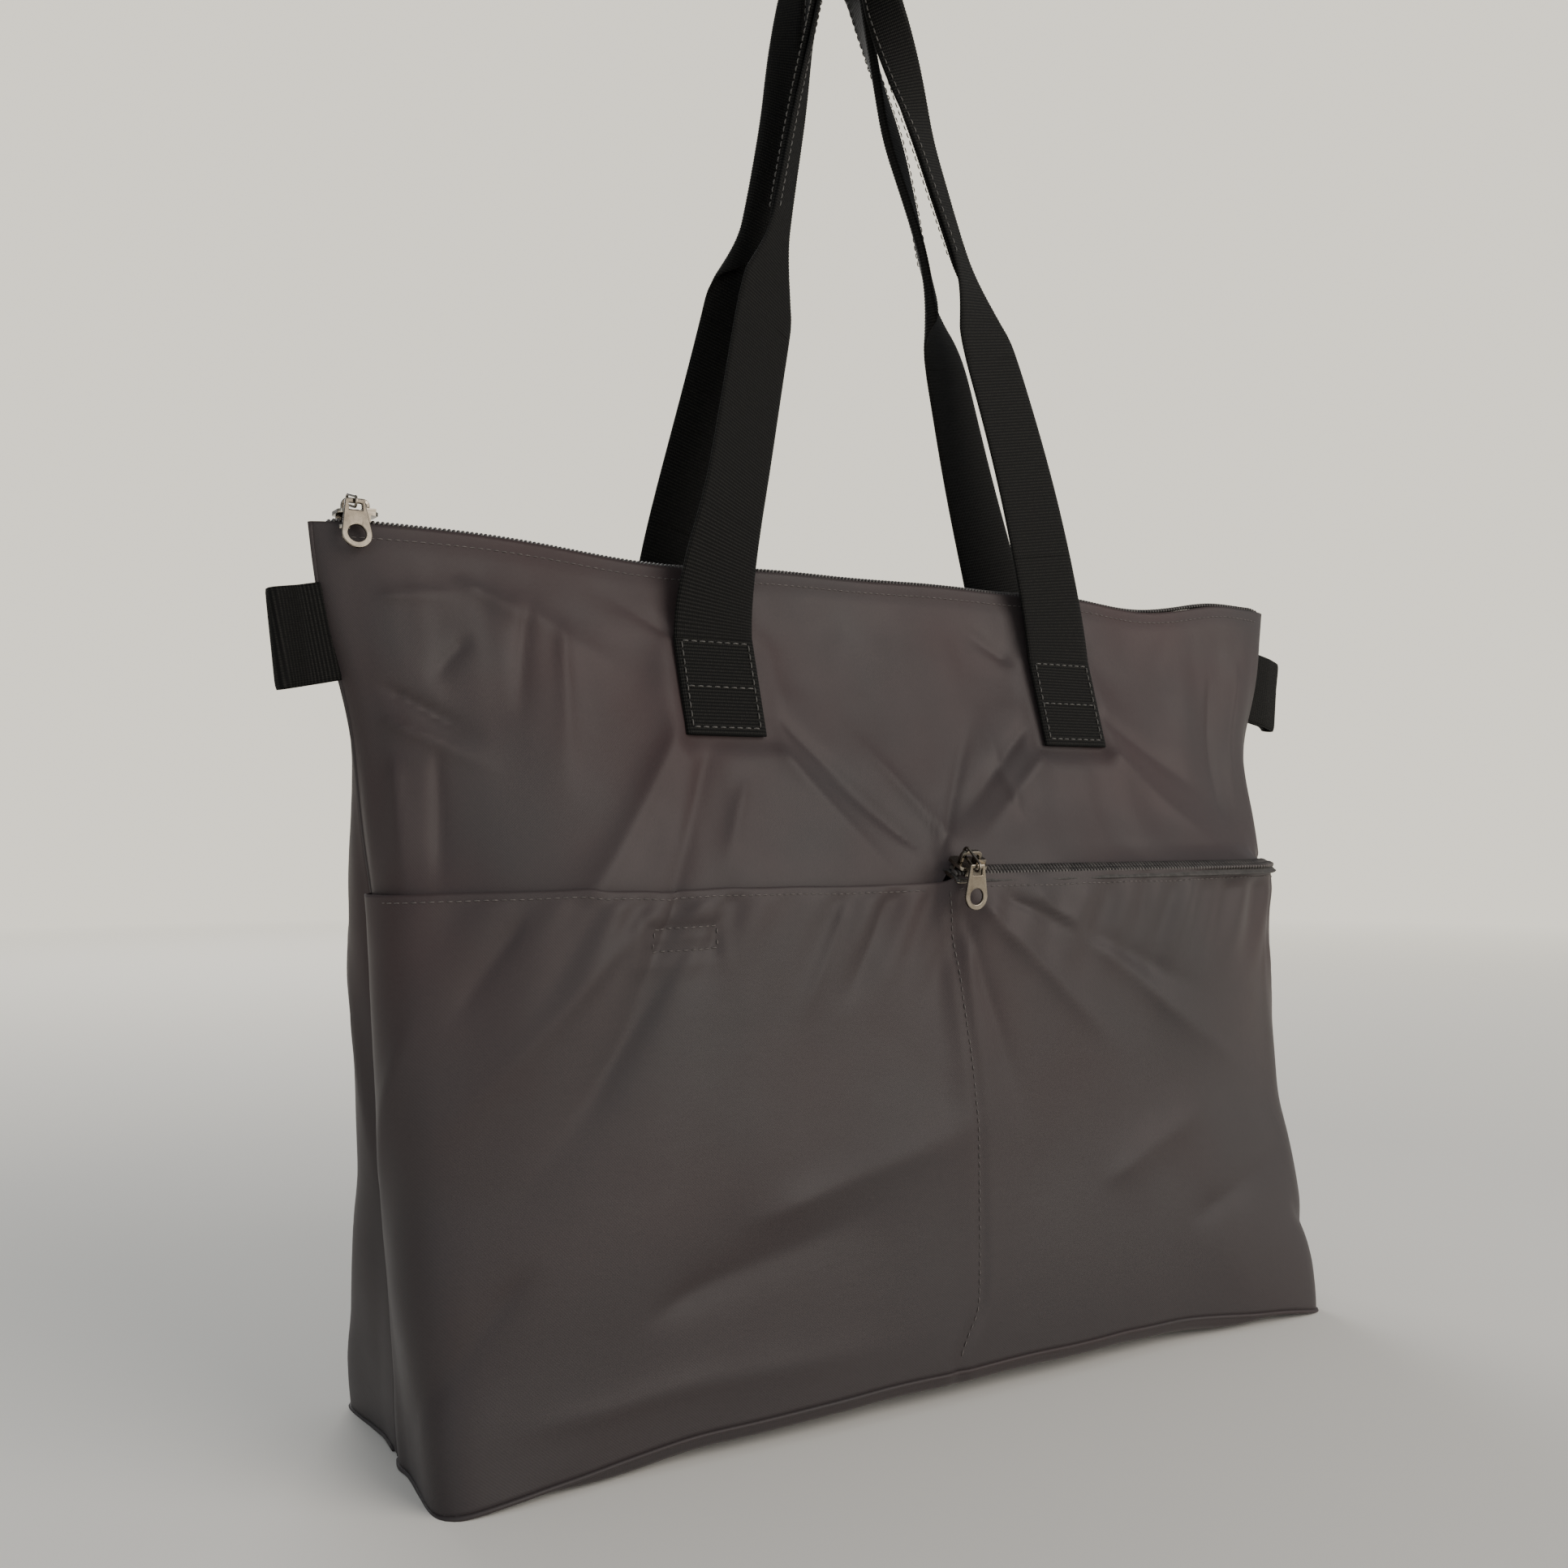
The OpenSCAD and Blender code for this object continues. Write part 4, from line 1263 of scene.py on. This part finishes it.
def build_strap_end(key, side, outward):
    """A sewn strap end with its box of stitches."""
    low, high = mm_box(key + "_strap_end_" + side)
    depth_low = (high[1] if outward > 0 else -low[1]) - STRAP_T / 2
    depth_high = (low[1] if outward > 0 else -high[1]) + STRAP_T / 2
    drop = high[2] - low[2]
    lean = depth_low - depth_high
    length = math.hypot(drop, lean) - 0.3
    up = unit(np.array([0, -outward * lean, drop]))
    normal = unit(np.array([0, outward * drop, lean]))
    foot = np.array([(low[0] + high[0]) / 2, outward * depth_low, low[2] + 0.4])
    runs = np.arange(0, length + 1.6, STEP)
    path = foot + runs[:, None] * up
    frames = strap_frames(path, copies(normal, len(path)))
    piece = webbing_piece("%s_strap_sewn_%s" % (key, side), path, runs + 0.6 * RIB, frames)
    fit(piece, "root", "%s_strap_end_%s" % (key, side))
    across = unit(np.cross(up, normal))
    inset = STRAP_W / 2 - 2.3
    rows = [2.4, length * 0.5, length - 0.6]
    lines = [((-inset, row), (inset, row)) for row in rows]
    lines += [((edge, rows[0]), (edge, rows[2])) for edge in (-inset, inset)]
    seams = []
    for a, b in lines:
        count = max(4, int(math.dist(a, b) / 0.8))
        t = np.linspace(0, 1, count)[:, None]
        flat = np.array(a) * (1 - t) + np.array(b) * t
        points = foot + flat[:, :1] * across + flat[:, 1:] * up + normal * (STRAP_T / 2 + 0.02)
        seams.append((points, copies(normal, count)))
    stitch_piece("%s_strap_stitches_%s" % (key, side), "root", seams, THREAD, 3.0, 2.3, 0.27)


def loop_outline(reach, radius, lay):
    """Webbing folded double: out along one side, round the bend and back, as distances and places."""
    straight = np.linspace(-7.5, reach, 60)
    turn = np.linspace(-math.pi / 2, math.pi / 2, 24)[1:-1]
    squeeze = lay + (radius - lay) * ease(0.0, reach, straight)
    outline = np.stack([np.concatenate([straight, reach + radius * np.cos(turn), straight[::-1]]),
                        np.concatenate([-squeeze, radius * np.sin(turn), squeeze[::-1]])], -1)
    run = run_along(outline)
    runs = np.arange(0, run[-1], STEP)
    return runs, sample(runs, run, outline).T


def build_side_loop(side):
    """Webbing folded double in the side seam, out and back round a soft bend."""
    hand = -1 if side == "left" else 1
    joint = joints[side + "_loop_fold"]
    pivot = np.array(joint["pos_m"]) / MM
    axis = np.array(joint["axis"], float)
    out = unit(np.cross(np.array([0, hand, 0.0]), axis))
    out = out * hand * np.sign(out[0])
    ahead = np.array([0, 1.0, 0])
    curl, droop = math.radians(22 * hand), math.radians(6)
    runs, (x, y) = loop_outline(10.0, 2.0, 1.05)
    outwards = np.linspace(x.min(), x.max(), 200)
    bend = curl * ease(-1.0, 5.0, outwards)
    step = outwards[1] - outwards[0]
    turn = np.interp(x, outwards, bend)
    along = np.interp(x, outwards, x.min() + np.cumsum(np.cos(bend)) * step) - y * np.sin(turn)
    aside = np.interp(x, outwards, np.cumsum(np.sin(bend)) * step) + y * np.cos(turn)
    out = out * math.cos(droop) - np.cross(out, ahead) * hand * math.sin(droop)
    path = pivot + along[:, None] * out + aside[:, None] * ahead
    normals = unit(np.cross(copies(axis, len(path)), tangents(path)))
    normals = -normals if normals[5, 1] > 0 else normals
    piece = webbing_piece("side_loop_webbing_" + side, path, runs, strap_frames(path, normals), thick=1.5)
    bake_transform(piece)
    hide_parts("side_loop_" + side)


# Turns of each leg's webbing, in degrees, at the six marks that Handle.walk sets on the way to the top
FRONT_TURNS = ((0, 2, 8, 30, 20, -90), (0, -21, -22, -38, -48, -90))
BACK_TURNS = ((0, 0, 0, 0, -8, -90), (0, -5, -20, -56, -26, -90))

Handle("front", -1, (3.5, 8.0), FRONT_TURNS).build()
Handle("back", 1, (0.0, -4.0), BACK_TURNS).build()
for which, facing in (("front", -1), ("back", 1)):
    for hand_side in ("left", "right"):
        build_strap_end(which, hand_side, facing)
build_side_loop("left")
build_side_loop("right")


# ---- zips

# Length of the coil's repeat, in millimetres
PITCH = 1.5

# Share of a turn's width and its thickness, from the tape to the crossing
COIL_TURN = np.array([(0.0, 0.35), (0.12, 0.85), (0.5, 1.0), (0.88, 0.95), (1.0, 0.5)])
COIL_SIDES = 8


def coil_piece(name, line, across, over, *nodes):
    """Interlocked coil: one capsule for each turn, left and right by turns."""
    run = run_along(line)
    count = int(run[-1] / (PITCH / 2))
    at = np.repeat(np.linspace(0.6, run[-1] - 0.6, count), len(COIL_TURN))
    share, size = np.tile(COIL_TURN, (count, 1)).T[..., None]
    hand = np.repeat(np.arange(count) % 2 * 2 - 1, len(COIL_TURN))[:, None]
    side, lift = unit(sample(at, run, across)), unit(sample(at, run, over))
    along = unit(np.cross(side, lift))
    reach = hand * (-0.45 + 3.35 * share)
    height = 0.75 + 0.25 * np.sin(share * math.pi)
    centre = sample(at, run, line) + side * reach + lift * height + along * hand * 0.10
    rings = circles(centre, 0.52 * size * along, 0.85 * size * lift, COIL_SIDES)
    faces = capsule_faces(count, len(COIL_TURN), COIL_SIDES, (False, True))
    fit(new_piece(name, rings.reshape(-1, 3), faces, COIL), "root", *nodes)


def tape_piece(name, grid, weave, flip, node):
    """A strip of tape; flip turns its outer face the other way."""
    turn = -1 if flip else 1
    fit(shell(name, grid[::turn], 0.5, TAPE, weave[::turn]), "root", node)


def pocket_tape(side, inner, outer):
    """Tape beside the pocket's coil; it turns down by drop towards its outer edge."""
    line, across, over = ZIP_LINE
    drop = 0.9
    v = np.linspace(0, 1, 9)[:, None, None]
    reach = inner + (outer - inner) * v
    grid = line + across * reach - over * drop * ease(0.45, 1.0, v)
    weave = pair(np.arange(len(line)), reach[..., 0])
    tape_piece("pocket_zip_tape_weave_" + side, grid, weave, outer < 0, "pocket_zip_tape_" + side)


def top_tape(side, line, sheet, hand):
    """Tape from the coil over and down behind the panel's top hem."""
    x = np.clip(line[:, 0], -199, 199)
    hem = sheet.along(x, BODY_H - 3.0, -0.9)[0]
    start = line + np.array([0, -0.3 * hand, 0])
    corner = np.stack([line[:, 0], hem[:, 1], line[:, 2]], -1)
    v = np.linspace(0, 1, 9)[:, None, None]
    grid = start * (1 - v) ** 2 + corner * 2 * v * (1 - v) + hem * v ** 2
    weave = pair(np.arange(len(x)) * 1.5, np.linspace(0, 8, 9)[:, None])
    tape_piece("top_zip_tape_weave_" + side, grid, weave, hand < 0, "top_zip_tape_" + side)


def build_top_zip():
    x = np.linspace(-201, 201, 260)
    z = BODY_H + top_wave(x) - 1.2 * ease(196, 203, np.abs(x))
    line = np.stack([x, hem_wave(x) * 0.8, z], -1)
    across, over = copies([0, 1, 0], len(x)), copies([0, 0, 1], len(x))
    coil_piece("top_zip_coil", line, across, over, "top_zip_coil_front", "top_zip_coil_back")
    top_tape("front", line, front_sheet, -1)
    top_tape("back", line, back_sheet, 1)


def build_pocket_zip():
    coil_piece("pocket_zip_coil", *ZIP_LINE, "pocket_zip_coil_lower", "pocket_zip_coil_upper")
    pocket_tape("lower", -0.3, -4.6)
    pocket_tape("upper", 0.3, 4.4)


def build_metal(node_name, body, edge):
    """The CAD part with rounded edges and a satin finish."""
    node = frame["nodes"][node_name]
    piece = add_object(node_name + "_metal", node.data.copy())
    piece.data.transform(node.matrix_world)
    weld = piece.modifiers.new("weld", "WELD")
    weld.merge_threshold = 0.00001
    bevel = piece.modifiers.new("bevel", "BEVEL")
    bevel.width = edge * MM
    bevel.segments = 2
    bevel.limit_method = "ANGLE"
    bevel.angle_limit = math.radians(40)
    shape = piece.evaluated_get(bpy.context.evaluated_depsgraph_get())
    mesh = bpy.data.meshes.new_from_object(shape)
    piece.modifiers.clear()
    piece.data = mesh
    mesh.materials.clear()
    mesh.materials.append(NICKEL)
    fit(piece, body, node_name)


# Each metal part of a zip, the body it moves with and the rounding of its edges
METAL = (("slider", "slider", 0.3), ("crown", "slider", 0.3),
         ("pull_link", "link", 0.25), ("pull_tab", "tab", 0.28))

build_top_zip()
build_pocket_zip()
for zip_key in ("top", "pocket"):
    for part, rides_on, rounding in METAL:
        build_metal(zip_key + "_zip_" + part, zip_key + "_" + rides_on, rounding)


def build_fastener():
    """The hook patch on the front panel and the loop patch behind the pocket panel."""
    low, high = mm_box("hook_patch")
    columns = np.linspace(low[0], high[0], 33)
    rows = np.linspace(low[2], high[2], 13)
    for name, sheet, lift in (("hook", front_sheet, 0.6), ("loop", pocket_sheet, -1.5)):
        grid = np.array([sheet.along(columns, row, lift)[0] for row in rows])
        piece = shell(name + "_patch_pile", grid, 0.5, HOOKS, pair(columns, rows[:, None]))
        fit(piece, "root", name + "_patch")


build_fastener()


# ---- floor, light and camera

WALL = (0.90, 0.85, 0.73)
WALL_LIGHT = 1.4
FLOOR_SIZE = 30.0
LOOK_AT = (0.0, 0.0, 0.17)


def mix_shaders(tree, factor, first, second, surface):
    blend = tree.nodes.new("ShaderNodeMixShader")
    for socket, value in zip(blend.inputs, (factor, first.outputs[0], second.outputs[0])):
        tree.links.new(value, socket)
    tree.links.new(blend.outputs[0], tree.nodes[surface].inputs["Surface"])


def floor_material():
    """Pale floor that fades into the studio's background far from the bag."""
    material, tree, shader = node_material("pale_floor")
    flat = object_coords(tree)
    pale = mix_colour(tree, noise(tree, flat, 2.0, 2), (0.87, 0.845, 0.79), (0.89, 0.87, 0.82))
    set_inputs(tree, shader, Base_Color=pale, Roughness=0.9)
    far = tree.nodes.new("ShaderNodeVectorMath")
    far.operation = "LENGTH"
    tree.links.new(flat, far.inputs[0])
    glow = tree.nodes.new("ShaderNodeEmission")
    set_inputs(tree, glow, Color=WALL, Strength=WALL_LIGHT)
    mix_shaders(tree, ramp(tree, far.outputs["Value"], 0.5, 2.6), shader, glow, "Material Output")
    return material


def build_floor():
    mesh = bpy.data.meshes.new("floor")
    corners = [(x * FLOOR_SIZE, y * FLOOR_SIZE, -0.0005) for x, y in ((-1, -1), (1, -1), (1, 1), (-1, 1))]
    mesh.from_pydata(corners, [], [(0, 1, 2, 3)])
    floor = add_object("floor", mesh)
    mesh.materials.append(floor_material())


def area_light(name, where, size, power, colour):
    data = bpy.data.lights.new(name, "AREA")
    data.shape = "DISK"
    data.size = size
    data.energy = power
    data.color = colour
    lamp = add_object(name, data)
    lamp.location = where
    lamp.rotation_euler = (Vector(LOOK_AT) - Vector(where)).to_track_quat("-Z", "Y").to_euler()


def build_light():
    """A bright plain background for the camera, and a softer, dimmer sky that lights the bag."""
    world = bpy.data.worlds.new("studio")
    bpy.context.scene.world = world
    world.use_nodes = True
    tree = world.node_tree
    sky = tree.nodes["Background"]
    set_inputs(tree, sky, Color=(0.80, 0.83, 0.86), Strength=0.42)
    wall = tree.nodes.new("ShaderNodeBackground")
    set_inputs(tree, wall, Color=WALL, Strength=WALL_LIGHT)
    seen = tree.nodes.new("ShaderNodeLightPath").outputs["Is Camera Ray"]
    mix_shaders(tree, seen, sky, wall, "World Output")
    area_light("key", (1.0, -1.9, 0.95), 2.2, 44.0, (1.0, 0.93, 0.85))
    area_light("fill", (-1.4, -1.5, 0.7), 1.4, 5.0, (0.90, 0.96, 1.0))
    area_light("rim", (0.3, 1.9, 1.1), 1.6, 20.0, (1.0, 0.98, 0.95))


def build_camera():
    """The photograph's view: from the left and slightly below the bag's middle."""
    azimuth, elevation = math.radians(31.62), math.radians(1.17)
    level = math.cos(elevation)
    forward = Vector((math.sin(azimuth) * level, math.cos(azimuth) * level, math.sin(elevation)))
    data = bpy.data.cameras.new("camera")
    data.sensor_fit = "HORIZONTAL"
    data.sensor_width = 36.0
    data.lens = 36.06522
    camera = add_object("camera", data)
    camera.location = (-0.3307, -0.4745, 0.1956)
    camera.rotation_mode = "QUATERNION"
    camera.rotation_quaternion = forward.to_track_quat("-Z", "Y")
    bpy.context.scene.camera = camera


build_floor()
build_light()
build_camera()

bpy.context.view_layer.update()
